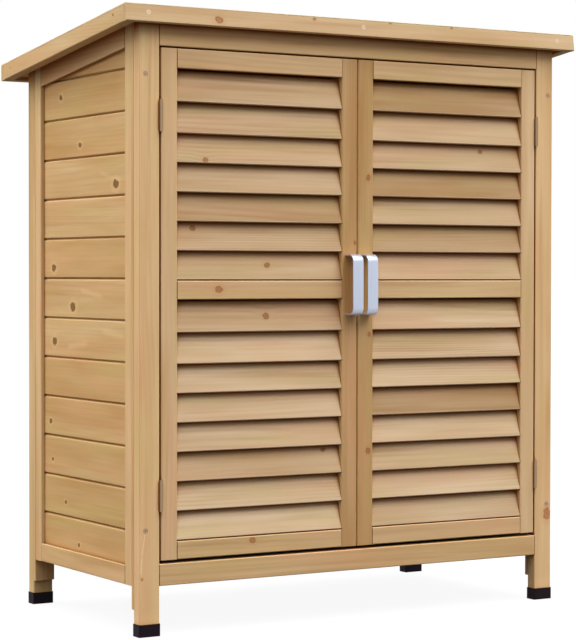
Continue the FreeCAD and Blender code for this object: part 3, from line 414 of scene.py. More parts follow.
def feather(tree, low_along, low_across, high_along, high_across, half, strength):
    """Mask of a soft streak from one place to another."""
    run = tree.math("SUBTRACT", tree.grain, low_along)
    slope = (high_across - low_across) / (high_along - low_along)
    side = tree.math("ABSOLUTE", tree.math("SUBTRACT", tree.math(
        "SUBTRACT", tree.cross, low_across), tree.math("MULTIPLY", run, slope)))
    middle, reach = (low_along + high_along) / 2, abs(high_along - low_along) / 2
    off_middle = tree.math("ABSOLUTE", tree.math("SUBTRACT", tree.grain, middle))
    inside = tree.spread(off_middle, reach * 1.1, reach * 0.7)
    return tree.math("MULTIPLY", inside, tree.spread(side, half, 0.0, 0.0, strength))


print("boards vary in tone, and single ones carry pale feathers")

# %% Painted light and shade in the corners
# For each depth of painted corner shade: the colour it multiplies into corners and onto their
# ledges that look up, and how open to the sky a place is where it starts and where it is full
CORNER_SHADE_DEPTHS = {"plain": ((0.9, 0.92, 0.92), (1, 1, 1), 0.86, 0.44),
           "faint": ((0.94, 0.80, 0.64), (1, 1, 1), 0.86, 0.44),
           "soft": ((0.88, 0.60, 0.34), (1, 1, 1), 0.86, 0.44),
           "joints": ((0.55, 0.34, 0.08), (0.3, 0.31, 0.34), 0.86, 0.44),
           "deep": ((0.44, 0.19, 0.03), (0.6, 0.48, 0.36), 0.81, 0.50)}
CORNER_REACH = 0.045
WARM_LIGHT = (1.12, 1.10, 1.10, 1.0)


def paint_shade_in_corners(tree, corner_shade):
    """Painted light and shade from ambient occlusion: half-open corners are painted a little
    warmer and brighter, standing in for light that wood throws back, and deep ones are painted
    darker and browner, standing in for their shade.
    """
    corner, ledge, starts, full = CORNER_SHADE_DEPTHS[corner_shade]
    open_sky = tree.add(
        "ShaderNodeAmbientOcclusion", {"Distance": CORNER_REACH}, samples=8).outputs["AO"]
    # painted light: half-open corners are tinted warmer and a little brighter, standing in for
    # light bounced off nearby wood
    tree.tint(WARM_LIGHT, tree.spread(open_sky, 0.97, 0.84, smooth=False))
    # painted shade: deeper in corners, and on ledges there that look up, the colour is multiplied
    # darker and browner
    shade_tint = tree.mix(tree.spread(tree.looks_up, 0.5, 0.75), (*corner, 1.0), (*ledge, 1.0))
    tree.tint(shade_tint, tree.spread(open_sky, starts, full, smooth=False))


# prints the depths of painted shade in corners
print("depths of stain:", ", ".join(CORNER_SHADE_DEPTHS))

# %% Wood
HONEY, PALE = (186, 144, 96), (218, 188, 150)
ROSE, STRAW = (212, 164, 126), (196, 172, 116)
LINES, END_GRAIN, JOINT_LINE = (150, 108, 62), (166, 128, 86), (96, 60, 32)
FEATHER, ARRIS_HIGHLIGHT = (232, 200, 160), (226, 196, 158)
LIP_HIGHLIGHT, EDGE_LIGHT = (228, 204, 174), (219, 187, 130)
HALOS = (226, 192, 146), (180, 132, 84)  # about solid knots and about ringed ones
HEARTS = (116, 82, 46), (170, 86, 44)
KNOT_RIM, KNOT_PITH = (98, 60, 32), (104, 66, 40)


def between(ends, share):
    return [low + (high - low) * share for low, high in zip(*ends)]


def wood(name, along, across, tone=0.5, seed=0.0, row=None, tones=None, marked=False, knots=(),
         knotty=0.12, streaky=0.5, joints=(), shade=(1.0, 1.0, 1.0), ringed=0.5, lit_edges=0.0,
         feathers=(), corner_shade="soft"):
    """Softwood whose grain runs along one axis.

    tone goes from dark honey, 0, to pale, 1. row is (start, width) of boards that lie side by side
    across the grain, and tones lists theirs from the start. marked pieces carry each board's
    number and tone as attributes. knots lists knots as (along, across, radius) in metres, and
    knotty is how often others turn up by themselves. joints lists where along the grain the piece
    meets another one. ringed turns knots from solid dark ones, 0, to pale ones with a dark rim, 1.
    lit_edges is how much painted light lies on the faces that look across the grain. feathers lists
    pale streaks as (along, across, along, across, half width, strength). corner_shade is how deep
    the painted shade in the corners is.
    """
    material = empty_material(name)[0]
    tree = BoardRecipe(material.node_tree, along, across, seed, row, marked)
    knot = nearest_knot(tree, knots, knotty)
    heart = tree.spread(knot, 1.15, 0.8)
    rings, uneven, streaks = growth_lines(tree, knot, streaky)

    # Tone of the board, its drift and its tints
    own = board_tone(tree, tone, row, tones, marked)
    drift = tree.math("MULTIPLY_ADD", tree.grainy(3.2, 24, 2.5, 0.55), 1.3, -0.65)
    tree.colour = tree.mix(tree.math("ADD", own, drift), rgb(*HONEY), rgb(*PALE))
    tree.coat(ROSE, tree.spread(tree.grainy(4.0, 26, 1.5, shift=7.3), 0.48, 0.7), 0.48)
    tree.coat(STRAW, tree.spread(tree.grainy(4.4, 30, 1.5, shift=2.9), 0.48, 0.7), 0.42)

    # Lines, and what lies over them
    lines = tree.math("MULTIPLY", streaks, 0.10 * (0.5 + streaky))
    lines = tree.math("MULTIPLY_ADD", rings, 0.24, lines)
    lines = tree.math("MULTIPLY_ADD", uneven, 0.24 * (0.5 + streaky), lines)
    tree.coat(LINES, lines)
    tree.coat(between(HALOS, ringed), tree.spread(knot, 2.4, 1.3), 0.28)
    for streak in feathers:
        tree.coat(FEATHER, feather(tree, *streak))
    if row:
        # painted highlight: a pale line along each board's upper edge, where the planed arris
        # catches the light
        within = tree.math("FRACT", tree.rows_up)
        tree.coat(ARRIS_HIGHLIGHT, tree.math("MULTIPLY", tree.spread(within, 0.90, 0.93),
                                   tree.spread(within, 0.975, 0.96)), 0.12)
    tree.coat(between(HEARTS, ringed), heart, 0.88 - 0.4 * ringed)
    rim = tree.math("MULTIPLY", heart, tree.spread(knot, 0.45, 0.85))
    tree.coat(KNOT_RIM, rim, 0.12 + 0.3 * ringed)
    tree.coat(KNOT_PITH, tree.spread(knot, 0.3, 0.1), 0.5 * ringed)
    tree.coat(END_GRAIN, tree.spread(tree.math("ABSOLUTE", tree.looks_along), 0.6, 0.9), 0.2)
    tree.tint((*shade, 1.0))
    if marked:
        # dark slats are darker and pale ones paler than stain alone makes them
        strength = tree.math("MULTIPLY_ADD", own, 0.24, 0.86)
        tree.tint(tree.combine(strength, strength, strength))
        # painted highlight: the slats' rounded lower lips are painted paler, as if they catch the
        # light
        tree.coat(LIP_HIGHLIGHT, tree.attribute("lip"), 0.38)
    for at in joints:
        off = tree.math("ABSOLUTE", tree.math("SUBTRACT", tree.grain, at))
        tree.coat(JOINT_LINE, tree.spread(off, 0.0012, 0.0003, 0.0, 0.6))
    # painted light and shade in corners, from ambient occlusion
    paint_shade_in_corners(tree, corner_shade)
    # painted light: faces that look across the grain, such as a stile's edge seen in the gap
    # between the doors, are painted paler as if lit
    if lit_edges:
        sideways = tree.math("ABSOLUTE", tree.looks_across)
        tree.coat(EDGE_LIGHT, tree.spread(sideways, 0.6, 0.9, 0.0, lit_edges))

    relief = tree.math("MULTIPLY_ADD", rings, -0.5, tree.math("MULTIPLY", streaks, -1.0))
    relief = tree.math("MULTIPLY_ADD", heart, -0.8, relief)
    rough = tree.spread(streaks, 0, 1, 0.66, 0.8, smooth=False)
    shader = tree.surface(tree.colour, rough, relief, strength=0.3, distance=0.0003)
    shader.inputs["Specular IOR Level"].default_value = 0.06
    return material


print("wood runs from", HONEY, "to", PALE)

# %% [markdown]
# ## Which wood goes where
# The posts and rails of the real cabinet are sawn from other boards than its walls and doors, so
# they differ a little in tone. One wood for all would look like plastic, and one for each piece
# would be more than the eye sees. So pieces of one kind share a wood: its shade lightens or
# darkens it, its seed gives it its own pattern, and the knots that catch the eye are listed with
# their places. Thin dark lines mark where the piece beside it ends.
# The rails under the roof are darkened further, and that darkening is painted shade.

# %% Posts and strips
SIDES = ("left", "right")
FRAME, BOARDS, DOORS = (1.03, 1.02, 0.955), (0.89, 0.86, 0.725), (0.93, 0.935, 0.915)


def both_sides(*names):
    return [f"{side}_{name}" for side in SIDES for name in names]


def dimmed(shade, share):
    return tuple(share * part for part in shade)


def finish(material, *names):
    """Give pieces of the frame their finish."""
    for name in names:
        mesh = nodes[name].data
        mesh.materials.clear()
        mesh.materials.append(material)
    print(f"{material.name}: {', '.join(names)}")


post_fir = wood(
    "post_fir", "z", "x", seed=3.0, shade=FRAME, knotty=0.0, corner_shade="deep", ringed=0.8, knots=[
        (0.0927, -0.4051, 0.0034), (0.0897, -0.3938, 0.0018), (0.1474, 0.3896, 0.0078)],
    feathers=[(0.0966, -0.3963, 0.1243, -0.3943, 0.0022, 0.55),
              (0.1243, -0.3943, 0.1610, -0.3888, 0.0017, 0.55)])
finish(post_fir, "front_left_post", "front_right_post")
finish(wood("back_post_fir", "z", "x", seed=4.0, shade=(0.88, 0.93, 0.83)),
       "back_left_post", "back_right_post")
finish(wood("strip_fir", "z", "y", seed=11.0, tone=0.3, shade=FRAME),
       "front_left_strip", "front_right_strip", "back_left_strip", "back_right_strip")

# %% Rails and panel frames
POST_EDGES = (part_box("front_left_post")[1].x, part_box("front_right_post")[0].x)
# painted shade in part: this wood is dimmed to 0.94 partly for its own tone and partly for the
# roof's shade on the header rail
finish(wood("cross_rail_fir", "x", "z", seed=5.0, shade=dimmed(FRAME, 0.94), knotty=0.0,
            joints=POST_EDGES, corner_shade="deep"),
       "header_rail", "back_top_rail", "back_bottom_rail", "door_stop")
finish(wood("bottom_rail_fir", "x", "z", seed=6.0, shade=dimmed(FRAME, 0.88), knotty=0.0,
            joints=POST_EDGES), "front_bottom_rail")
PANELS = dimmed(FRAME, 0.95)
finish(wood("panel_stile_fir", "z", "y", seed=7.0, shade=PANELS, knotty=0.0, corner_shade="plain"),
       *both_sides("panel_front_stile", "panel_back_stile"))
PANEL_EDGES = (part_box("left_panel_front_stile")[1].y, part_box("left_panel_back_stile")[0].y)
finish(wood("panel_rail_fir", "y", "z", seed=9.0, shade=PANELS, knotty=0.0, joints=PANEL_EDGES,
            corner_shade="joints"), *both_sides("panel_bottom_rail"))
# painted shade: these rails sit under the roof's overhang, and their wood is dimmed to 0.82 for its
# shade
finish(wood("shaded_panel_slope_fir", "y", "z", seed=10.0, shade=dimmed(FRAME, 0.82), knotty=0.0,
            joints=PANEL_EDGES), *both_sides("panel_top_rail"))

# %% Boards
FIRST_JOINT, BOARD_WIDTH = 0.0945, 0.0654
FLOOR_START, ROOF_START = -0.1936, -0.2208
SHELF_START, PLANK_PITCH = -0.1855, 0.089
WALL_ROW = (FIRST_JOINT, BOARD_WIDTH)
side_board_fir = wood(
    "side_board_fir", "y", "z", row=WALL_ROW, seed=20.0, shade=BOARDS, streaky=0.3, knotty=0.0,
    corner_shade="joints", ringed=0.0, knots=[
        (0.0828, 0.8506, 0.0048), (0.0104, 0.7694, 0.0046), (-0.1202, 0.7016, 0.0076),
        (0.1109, 0.5700, 0.0064), (0.0374, 0.5061, 0.0078), (0.1073, 0.4485, 0.0066),
        (0.1235, 0.3142, 0.0042), (0.1157, 0.2511, 0.0032), (0.0651, 0.1838, 0.0034),
        (0.0156, 0.1181, 0.0033)],
    feathers=[(-0.075, 0.523, 0.010, 0.534, 0.007, 0.3), (-0.15, 0.462, -0.07, 0.470, 0.008, 0.3),
              (-0.02, 0.448, 0.06, 0.440, 0.009, 0.28), (-0.14, 0.706, -0.06, 0.722, 0.006, 0.2)],
    tones=[0.27, 0.29, 0.31, 0.37, 0.26, 0.68, 0.52, 0.25, 0.63, 0.52, 0.32, 0.2, 0.3])
finish(side_board_fir, *both_sides("panel_boards"))
finish(wood("back_board_fir", "x", "z", row=WALL_ROW, seed=40.0, shade=BOARDS, corner_shade="joints"),
       "back_boards")
finish(wood("floor_board_fir", "x", "y", row=(FLOOR_START, BOARD_WIDTH), seed=60.0, shade=BOARDS),
       "floor_boards")
finish(wood("roof_board_fir", "x", "y", row=(ROOF_START, BOARD_WIDTH), seed=70.0, shade=BOARDS),
       "roof_boards")
finish(wood("shelf_fir", "x", "y", row=(SHELF_START, PLANK_PITCH), seed=80.0, shade=BOARDS),
       "lower_shelf", "upper_shelf")
finish(wood("batten_fir", "y", "z", seed=90.0, shade=BOARDS), "floor_bearers", "shelf_battens")

# %% Fascias
front_fascia_fir = wood(
    "front_fascia_fir", "x", "z", seed=13.0, shade=(0.858, 0.882, 0.91), knotty=0.0, tone=0.55,
    ringed=0.7, knots=[(-0.2683, 0.9554, 0.0056), (-0.0937, 0.9673, 0.0024),
                       (0.0521, 0.9706, 0.0024), (0.1745, 0.9693, 0.0022)])
finish(front_fascia_fir, "roof_front_fascia", "roof_back_fascia")
side_fascia_fir = wood(
    "side_fascia_fir", "y", "z", seed=15.0, shade=(0.87, 0.90, 0.82), knotty=0.0,
    knots=[(0.2002, 0.9076, 0.0014), (-0.188, 0.9574, 0.0024)])
finish(side_fascia_fir, "roof_left_fascia", "roof_right_fascia")

# %% Door frames
# the left hinge stile gets deep painted shade in its corners, and the right one faint
for side, corner_shade in (("left", "deep"), ("right", "faint")):
    finish(wood(f"{side}_stile_fir", "z", "x", seed=25.0, shade=DOORS, knotty=0.0, corner_shade=corner_shade),
           f"{side}_door_hinge_stile")
meeting_stile_fir = wood(
    "meeting_stile_fir", "z", "x", seed=27.0, shade=(0.815, 0.773, 0.702), tone=0.2, knotty=0.0,
    ringed=0.9, lit_edges=0.8, corner_shade="faint", knots=[
        (0.7174, 0.0203, 0.0040), (0.4620, 0.0228, 0.0036), (0.2713, 0.0213, 0.0042),
        (0.6111, -0.0053, 0.0026)])
finish(meeting_stile_fir, *both_sides("door_meeting_stile"))
RAIL_ENDS = [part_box(f"{side}_door_{stile}_stile")[end].x for side, stile, end in (
    ("left", "hinge", 1), ("left", "meeting", 0), ("right", "meeting", 1), ("right", "hinge", 0))]
door_rail_fir = wood(
    "door_rail_fir", "x", "z", seed=29.0, shade=DOORS, knotty=0.0, ringed=0.8, joints=RAIL_ENDS,
    corner_shade="deep", knots=[(-0.2588, 0.5361, 0.0055), (-0.1973, 0.1381, 0.0046)])
finish(door_rail_fir, *both_sides("door_top_rail", "door_middle_rail", "door_bottom_rail"))

# %% [markdown]
# ## Metal, plastic and felt
# The handles are satin aluminium bar, the hinges and screws are zinc-plated steel, the feet and
# the catch are moulded plastic, and the roof is bitumen felt with fine mineral grit. One small
# recipe covers the metals: a brushed or mottled roughness from noise. The felt mixes three
# colours of grit by Voronoi cells and lifts them with a bump.

# %% Metals
def metal(name, colour, rough, brushed=None, gloss=1.0):
    """Metal, finely brushed along an axis or mottled like plating. A lacquer lowers its gloss."""
    material, tree = empty_material(name)
    place = tree.place("Object")
    if brushed:
        scale = [900.0, 900.0, 900.0]
        scale[AXES[brushed]] = 12.0
        pattern = tree.noise(tree.vector("MULTIPLY", place, tuple(scale)), 1.0, 2.0)
    else:
        pattern = tree.noise(place, 420.0, 3.0)
    tone = tree.mix(pattern, rgb(*dimmed(colour, 0.9)), rgb(*colour))
    mottled = tree.spread(pattern, 0.25, 0.75, rough - 0.07, rough + 0.07)
    shader = tree.surface(tone, mottled, pattern, strength=0.15, distance=0.0001)
    shader.inputs["Metallic"].default_value = gloss
    return material


zinc = metal("zinc_plate", (164, 138, 110), 0.5)
finish(zinc, "hinge_post_leaves", "hinge_pins",
       *both_sides("door_hinge_leaves", "door_strike_plate"))
screw_metal = metal("screw_zinc", (190, 160, 132), 0.5, gloss=0.7)
finish(screw_metal, "frame_screws")
handle_metal = metal("satin_aluminium", (197, 206, 224), 0.38, brushed="z", gloss=0.6)
finish(handle_metal, *both_sides("door_handle"))

# %% Plastic
def plastic(name, colour, rough, shine=0.5):
    """Moulded plastic: a fine grain in its surface and faint clouds in its colour."""
    material, tree = empty_material(name)
    place = tree.place("Object")
    grain = tree.noise(place, 900.0, 2.0)
    cloudy = [part * 1.25 + 3 for part in colour]
    tone = tree.mix(tree.noise(place, 60.0, 2.0), rgb(*colour), rgb(*cloudy))
    grainy = tree.spread(grain, 0.2, 0.8, rough, rough + 0.12)
    shader = tree.surface(tone, grainy, grain, strength=0.2, distance=0.0001)
    shader.inputs["Specular IOR Level"].default_value = shine
    return material


finish(plastic("foot_cap_plastic", (20, 12, 17), 0.5, shine=0.07), "foot_caps")
finish(plastic("catch_plastic", (196, 192, 182), 0.4), "magnetic_catch")

# %% Roofing felt
GRIT, PALE_GRIT = ((78, 88, 76), (116, 124, 108)), (168, 168, 152)
WORN_FELT, CUT_EDGE = (64, 70, 64), (222, 206, 172)


def roofing_felt():
    """Felt with three colours of grit, darker patches, and a pale cut edge."""
    material, tree = empty_material("green_felt")
    place = tree.place("Object")
    grit = tree.add("ShaderNodeTexVoronoi", {"Vector": place, "Scale": 620.0}).outputs
    dice = tree.split_colour(grit["Color"])
    tone = tree.mix(dice[0], rgb(*GRIT[0]), rgb(*GRIT[1]))
    tone = tree.mix(tree.math("GREATER_THAN", dice[1], 0.86), tone, rgb(*PALE_GRIT))
    patches = tree.spread(tree.noise(place, 7.0, 4.0), 0.3, 0.7, 0.0, 0.35)
    tone = tree.mix(patches, tone, rgb(*WORN_FELT))
    facing_up = tree.split(tree.place("Normal"))[2]
    tone = tree.mix(tree.spread(facing_up, 0.7, 0.4), tone, rgb(*CUT_EDGE))
    rough = tree.spread(dice[0], 0, 1, 0.8, 0.95, smooth=False)
    tree.surface(tone, rough, grit["Distance"], strength=0.6, distance=0.0008)
    return material


finish(roofing_felt(), "roof_felt")

# %% [markdown]
# ## Repeated pieces
# Slats, screws and nails repeat, so each kind is one Geometry Nodes tree with named sizes, and
# the tree is run once for each body. The result is turned into a plain mesh, because instances
# and live modifiers do not leave Blender with the model.

# %% Run a tree and keep its mesh
def grow(name, group, body, sizes, stands_for=(), points=(), path=False):
    """Run a tree with the given sizes and keep the mesh as a piece that rides on a body.

    points are the places that the tree starts from, in metres, and path joins them in a line.
    """
    seed_mesh = bpy.data.meshes.new(f"{name}_seed")
    lines = [(number, number + 1) for number in range(len(points) - 1)] if path else []
    seed_mesh.from_pydata(list(points), lines, [])
    maker = add_object(f"{name}_maker", seed_mesh)
    modifier = maker.modifiers.new("nodes", "NODES")
    modifier.node_group = group
    for item in group.interface.items_tree:
        if item.item_type == "SOCKET" and item.in_out == "INPUT" and item.name in sizes:
            modifier[item.identifier] = sizes[item.name]
    maker.update_tag()
    seen = maker.evaluated_get(bpy.context.evaluated_depsgraph_get())
    mesh = bpy.data.meshes.new_from_object(seen)
    bpy.data.objects.remove(maker)
    piece = add_object(name, mesh)
    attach(piece, body)
    if stands_for:
        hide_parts(*stands_for)
    print(f"{name}: {len(mesh.polygons)} faces")
    return piece


# %% Steps that geometry trees repeat
class Maker(Recipe):
    """Recipe for geometry."""

    def gather(self, kind, pieces, socket=0, inputs=None, **settings):
        """Add a node that takes several pieces at one of its sockets."""
        node = self.add(kind, inputs, **settings)
        for piece in pieces:
            self.tree.links.new(piece, node.inputs[socket])
        return node.outputs[0]

    def rectangle(self, width, height):
        return self.get("GeometryNodeCurvePrimitiveQuadrilateral", {
            "Width": width, "Height": height})

    def rounded(self, curve, steps, radius):
        return self.get("GeometryNodeFilletCurve", {
            "Curve": curve, "Count": steps, "Radius": radius}, mode="POLY")

    def cone(self, sides, top, bottom, height, **more):
        return self.get("GeometryNodeMeshCone", {
            "Vertices": sides, "Radius Top": top, "Radius Bottom": bottom, "Depth": height, **more})

    def shifted(self, geometry, x=0.0, y=0.0, z=0.0):
        return self.get("GeometryNodeTransform", {
            "Geometry": geometry, "Translation": self.combine(x, y, z)})

    def copied(self, points, piece, rotation=(0.0, 0.0, 0.0)):
        return self.get("GeometryNodeInstanceOnPoints", {
            "Points": points, "Instance": piece, "Rotation": rotation})

    def noted(self, geometry, name, value, domain):
        """Write a number on each face or instance, for the material."""
        return self.get("GeometryNodeStoreNamedAttribute", {
            "Geometry": geometry, "Name": name, "Value": value}, data_type="FLOAT", domain=domain)

    def chance(self, low, high, seed):
        return self.add("FunctionNodeRandomValue", {
            2: low, 3: high, "Seed": seed}, data_type="FLOAT").outputs[1]

    def end(self, geometry, material):
        """Turn instances into one mesh and give it its material."""
        real = self.get("GeometryNodeRealizeInstances", {0: geometry})
        coated = self.get("GeometryNodeSetMaterial", {"Geometry": real, "Material": material})
        self.add("NodeGroupOutput", {0: coated})


def new_tree(name, **inputs):
    """Geometry tree with named inputs. Returns its group, its recipe and what comes in."""
    group = bpy.data.node_groups.new(name, "GeometryNodeTree")
    group.interface.new_socket("Start", in_out="INPUT", socket_type="NodeSocketGeometry")
    kinds = {float: "NodeSocketFloat", int: "NodeSocketInt", tuple: "NodeSocketVector",
             bpy.types.Material: "NodeSocketMaterial"}
    for label, value in inputs.items():
        socket = group.interface.new_socket(
            label.replace("_", " "), in_out="INPUT", socket_type=kinds[type(value)])
        socket.default_value = value
    group.interface.new_socket("Geometry", in_out="OUTPUT", socket_type="NodeSocketGeometry")
    recipe = Maker(group)
    return group, recipe, recipe.add("NodeGroupInput").outputs


print("geometry trees share", len([step for step in vars(Maker) if step[0] != "_"]), "steps")

# %% [markdown]
# ## Louvre slats
# Each door has seven slats above its middle rail and eight below. A slat is a flat board with
# rounded edges that leans back, and its ends sit in slots of the stiles. One profile is filled,
# drawn out to the slat's length and copied up a line of points. The topmost slat stands a
# little higher than the even pitch gives, so the last point is lifted.

# %% Slat tree
SLAT_WIDTH, SLAT_THICKNESS, SLAT_LEAN = 0.05, 0.0066, math.radians(13.4)
TOP_LIFT = 0.0032
SWAY = 0.004  # radians by which a slat may lean more or less than the others
WELD = 1e-6


def slat_tree(slat_wood):
    group, tree, given = new_tree(
        "louvre_slats", Count=7, Length=0.3178, Width=SLAT_WIDTH, Thickness=SLAT_THICKNESS,
        Edge=0.0016, Lean=SLAT_LEAN, First=(0.0, 0.0, 0.0), Pitch=0.0457, Top_lift=TOP_LIFT,
        Seed=1, Wood=slat_wood)
    thickness, width = given["Thickness"], given["Width"]
    outline = tree.rounded(tree.rectangle(thickness, width), 4, given["Edge"])
    cornered = tree.shifted(
        outline, tree.math("MULTIPLY", thickness, 0.5), tree.math("MULTIPLY", width, 0.5))
    face = tree.get("GeometryNodeFillCurve", {"Curve": cornered}, mode="NGONS")
    drawn = tree.get("GeometryNodeExtrudeMesh", {
        "Mesh": face, "Offset Scale": given["Length"], "Individual": False})
    underside = tree.get("GeometryNodeFlipFaces", {"Mesh": face})
    joined = tree.gather("GeometryNodeJoinGeometry", (underside, drawn))
    closed = tree.get("GeometryNodeMergeByDistance", {"Geometry": joined, "Distance": WELD})
    laid = tree.get("GeometryNodeTransform", {
        "Geometry": closed, "Rotation": (math.pi / 2, 0.0, math.pi / 2)})
    height = tree.split(tree.get("GeometryNodeInputPosition"))[2]
    on_lip = tree.math("LESS_THAN", height, tree.math("MULTIPLY", given["Edge"], 1.1))
    slat = tree.noted(laid, "lip", on_lip, "FACE")

    line = tree.get("GeometryNodeMeshLine", {
        "Count": given["Count"], "Start Location": given["First"],
        "Offset": tree.combine(0.0, 0.0, given["Pitch"])})
    index = tree.get("GeometryNodeInputIndex")
    last = tree.math("SUBTRACT", given["Count"], 1.0)
    is_last = tree.get(
        "FunctionNodeCompare", {2: index, 3: last}, data_type="INT", operation="EQUAL")
    lifted = tree.get("GeometryNodeSetPosition", {
        "Geometry": line, "Selection": is_last,
        "Offset": tree.combine(0.0, 0.0, given["Top lift"])})
    sway = tree.chance(-SWAY, SWAY, given["Seed"])
    angle = tree.math("MULTIPLY_ADD", given["Lean"], -1.0, sway)
    rows = tree.copied(lifted, slat, tree.combine(angle, 0.0, 0.0))
    number = tree.math("ADD", index, given["Seed"])
    tree.end(tree.noted(rows, "board", number, "INSTANCE"), given["Wood"])
    return group


slat_wood = wood(
    "slat_fir", "x", "z", marked=True, seed=101.0, shade=(0.742, 0.772, 0.82), knotty=0.0,
    streaky=0.8, ringed=0.6, corner_shade="deep", knots=[
        (-0.2822, 0.7383, 0.0042), (-0.3017, 0.6320, 0.0045), (-0.1679, 0.5748, 0.0045),
        (-0.1696, 0.4937, 0.0052), (-0.0604, 0.2757, 0.0036), (-0.1950, 0.1365, 0.0036),
        (0.2515, 0.7669, 0.0036)])
louvre_slats = slat_tree(slat_wood)
print("slat tree has", len(louvre_slats.nodes), "nodes")

# %% Slats of both doors
SEEDS = {"left": 3, "right": 30}
SLAT_TONES = {
    ("left", "upper"): (0.56, 0.52, 0.28, 0.56, 0.72, 0.55, 0.47),
    ("left", "lower"): (1.0, 0.81, 0.55, 0.70, 0.74, 0.67, 0.86, 0.53),
    ("right", "upper"): (0.71, 0.32, 0.54, 0.17, 0.50, 0.68, 0.19),
    ("right", "lower"): (0.60, 0.86, 0.71, 0.83, 0.13, 0.79, 0.69, 0.78),
}


def tone_each(piece, tones):
    """Write the tone of every slat on its faces."""
    mesh = piece.data
    tone = mesh.attributes.new("tone", "FLOAT", "FACE")
    share = len(mesh.polygons) // len(tones)
    for number, level in enumerate(tones):
        for face in range(number * share, (number + 1) * share):
            tone.data[face].value = level


for (side, part), tones in SLAT_TONES.items():
    node = f"{side}_door_{part}_slats"
    low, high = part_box(node)
    drop = SLAT_THICKNESS * math.sin(SLAT_LEAN)
    rise = SLAT_WIDTH * math.cos(SLAT_LEAN)
    pitch = (high.z - rise - (low.z + drop) - TOP_LIFT) / (len(tones) - 1)
    louvres = grow(f"{side}_{part}_louvres", louvre_slats, f"{side}_door", {
        "Count": len(tones), "Length": high.x - low.x, "First": (low.x, low.y, low.z + drop),
        "Pitch": pitch, "Top lift": TOP_LIFT, "Seed": SEEDS[side]}, [node])
    tone_each(louvres, tones)

# %% [markdown]
# ## Bow handles
# A handle is a flat bar of aluminium, bent round twice and with its edges eased. It could be a
# bevelled box, but a bar that is bent follows a path, so a rounded rectangle is swept along four
# points whose corners are filleted.

# %% Handle tree and both handles
HANDLE_THICKNESS = 0.0026


def handle_tree(handle_metal):
    group, tree, given = new_tree(
        "bow_handle", Width=0.02, Thickness=HANDLE_THICKNESS, Bend=0.0125, Edge=0.0008,
        Metal=handle_metal)
    path = tree.get("GeometryNodeMeshToCurve", {0: given["Start"]})
    bend_middle = tree.math("MULTIPLY_ADD", given["Thickness"], -0.5, given["Bend"])
    bent = tree.rounded(path, 12, bend_middle)
    section = tree.rounded(
        tree.rectangle(given["Width"], given["Thickness"]), 3, given["Edge"])
    bar = tree.get("GeometryNodeCurveToMesh", {
        "Curve": bent, "Profile Curve": section, "Fill Caps": True})
    tree.end(bar, given["Metal"])
    return group


bow_handle = handle_tree(handle_metal)
half = HANDLE_THICKNESS / 2
for side in SIDES:
    low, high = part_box(f"{side}_door_handle")
    middle_x = (low.x + high.x) / 2
    bottom, top, front = low.z + half, high.z - half, low.y + half
    grow(f"{side}_bow_handle", bow_handle, f"{side}_door", {},
         [f"{side}_door_handle"], path=True,
         points=[(middle_x, high.y, bottom), (middle_x, front, bottom),
                 (middle_x, front, top), (middle_x, high.y, top)])

# %% [markdown]
# ## Screws and nails
# Countersunk screws hold the posts and the front fascia, and short nails with wide heads hold
# the felt along its edges. A screw is a head, a shank and a point in one, with a cross cut into
# the head. The heads could be discs with a painted cross, but a cut one catches the light from
# any side. Each screw is turned by chance about its own axis.

# %% Screw tree
POINT_RADIUS = 0.0003
OVERLAP = 0.0005  # by which the shank reaches into the head, so that the two become one
NECK_SHARE = 0.97


def screw_tree(metal):
    group, tree, given = new_tree(
        "cross_screw", Head_radius=0.004, Head_height=0.0026, Shank_radius=0.002, Length=0.0397,
        Cross_length=0.0048, Cross_width=0.0011, Cross_depth=0.0013, Turn=(0.0, 0.0, 0.0), Seed=1,
        Metal=metal)
    head_height, length = given["Head height"], given["Length"]
    head = tree.cone(28, given["Head radius"], given["Shank radius"], head_height)
    head = tree.shifted(head, z=tree.math("MULTIPLY", head_height, -1.0))
    neck = tree.math("MULTIPLY", given["Shank radius"], NECK_SHARE)
    run = tree.math("SUBTRACT", length, head_height)
    shank = tree.cone(20, neck, POINT_RADIUS, run, **{"Side Segments": 3})
    shank = tree.shifted(shank, z=tree.math("MULTIPLY_ADD", length, -1.0, OVERLAP))
    solid = tree.gather("GeometryNodeMeshBoolean", (shank, head), 1, operation="UNION")

    long, wide = given["Cross length"], given["Cross width"]
    deep = tree.math("MULTIPLY", given["Cross depth"], 2.0)
    arms = [tree.get("GeometryNodeMeshCube", {"Size": tree.combine(*size)})
            for size in ((long, wide, deep), (wide, long, deep))]
    cut = tree.gather("GeometryNodeMeshBoolean", arms, 1, {0: solid}, operation="DIFFERENCE")
    aimed = tree.copied(given["Start"], cut, given["Turn"])
    spin = tree.combine(0.0, 0.0, tree.chance(0.2, 1.5, given["Seed"]))
    spun = tree.get("GeometryNodeRotateInstances", {"Instances": aimed, "Rotation": spin})
    tree.end(spun, given["Metal"])
    return group


cross_screw = screw_tree(screw_metal)
print("screw tree has", len(cross_screw.nodes), "nodes")

# %% Screws of the posts
HEAD_RADIUS = 0.004  # of the frame's own screws, whose middles give the places
low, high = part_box("frame_screws")
LEVELS = (low.z + HEAD_RADIUS, high.z - HEAD_RADIUS)
ACROSS = (low.x + HEAD_RADIUS, high.x - HEAD_RADIUS)
FACING_FRONT, FACING_BACK = (math.pi / 2, 0.0, 0.0), (-math.pi / 2, 0.0, 0.0)
grow("post_screws_front", cross_screw, "cabinet", {
    "Turn": FACING_FRONT, "Seed": 4, "Head radius": 0.0036}, ["frame_screws"],
     points=[(x, low.y, z) for x in ACROSS for z in LEVELS])
grow("post_screws_back", cross_screw, "cabinet", {
    "Turn": FACING_BACK, "Seed": 9}, points=[(x, high.y, z) for x in ACROSS for z in LEVELS])

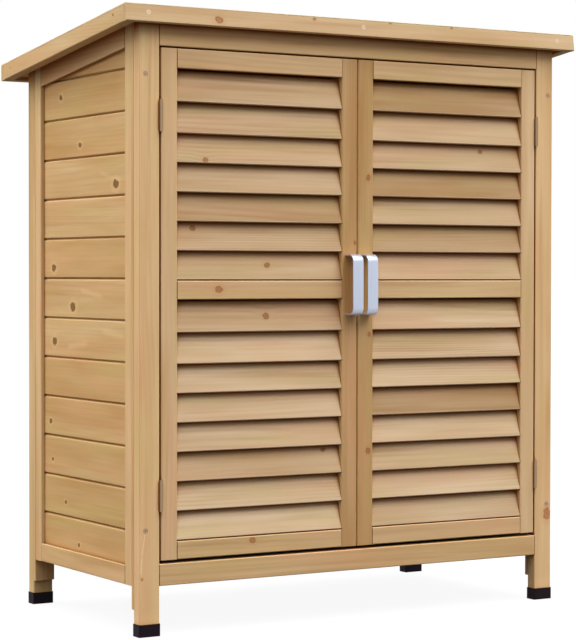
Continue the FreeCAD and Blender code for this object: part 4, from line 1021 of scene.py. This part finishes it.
# %% Screws of the front fascia
FALL = math.radians(6.9)
SCREWS_X, SCREW_Z = (-0.3914, -0.0005, 0.3945), 0.9600
PROUD = 0.0003
low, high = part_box("roof_front_fascia")
screw_y = low.y + (SCREW_Z - low.z) * math.tan(FALL) - PROUD
bright_screw = metal("bright_zinc", (216, 192, 172), 0.42, gloss=0.7)
grow("fascia_screws", screw_tree(bright_screw), "cabinet", {
    "Turn": (math.pi / 2 - FALL, 0.0, 0.0), "Seed": 2, "Length": 0.03, "Head radius": 0.0034},
     points=[(x, screw_y, SCREW_Z) for x in SCREWS_X])

# %% Nails of the felt
INSET = 0.013  # of the nails from the felt's edge
NAIL_LENGTH, NAIL_RADIUS, NAIL_POINT = 0.012, 0.0014, 0.0004
NAIL_OVERLAP = 0.0002  # of the shank with the head


def nail_tree(metal):
    group, tree, given = new_tree(
        "felt_nails", Spacing=0.085, Width=0.8, Depth=0.4, Middle=(0.0, 0.0, 0.0), Fall=FALL,
        Head=0.0045, Height=0.0007, Metal=metal)
    placed = tree.get("GeometryNodeCurveToPoints", {
        "Curve": tree.rectangle(given["Width"], given["Depth"]), "Length": given["Spacing"]},
        mode="LENGTH")
    head = tree.cone(16, tree.math("MULTIPLY", given["Head"], 0.7), given["Head"],
                     given["Height"], **{"Fill Segments": 2})
    shank = tree.cone(10, NAIL_RADIUS, NAIL_POINT, NAIL_LENGTH)
    shank = tree.shifted(shank, z=NAIL_OVERLAP - NAIL_LENGTH)
    nail = tree.gather("GeometryNodeJoinGeometry", (head, shank))
    nails = tree.get("GeometryNodeRealizeInstances", {0: tree.copied(placed, nail)})
    laid = tree.get("GeometryNodeTransform", {
        "Geometry": nails, "Translation": given["Middle"],
        "Rotation": tree.combine(tree.math("MULTIPLY", given["Fall"], -1.0), 0.0, 0.0)})
    tree.end(laid, given["Metal"])
    return group


low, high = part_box("roof_felt")
width, depth = high.x - low.x, high.y - low.y
middle = ((low.x + high.x) / 2, (low.y + high.y) / 2, high.z - math.tan(FALL) * depth / 2)
grow("clout_nails", nail_tree(zinc), "cabinet", {
    "Width": width - 2 * INSET, "Depth": depth / math.cos(FALL) - 2 * INSET, "Middle": middle})
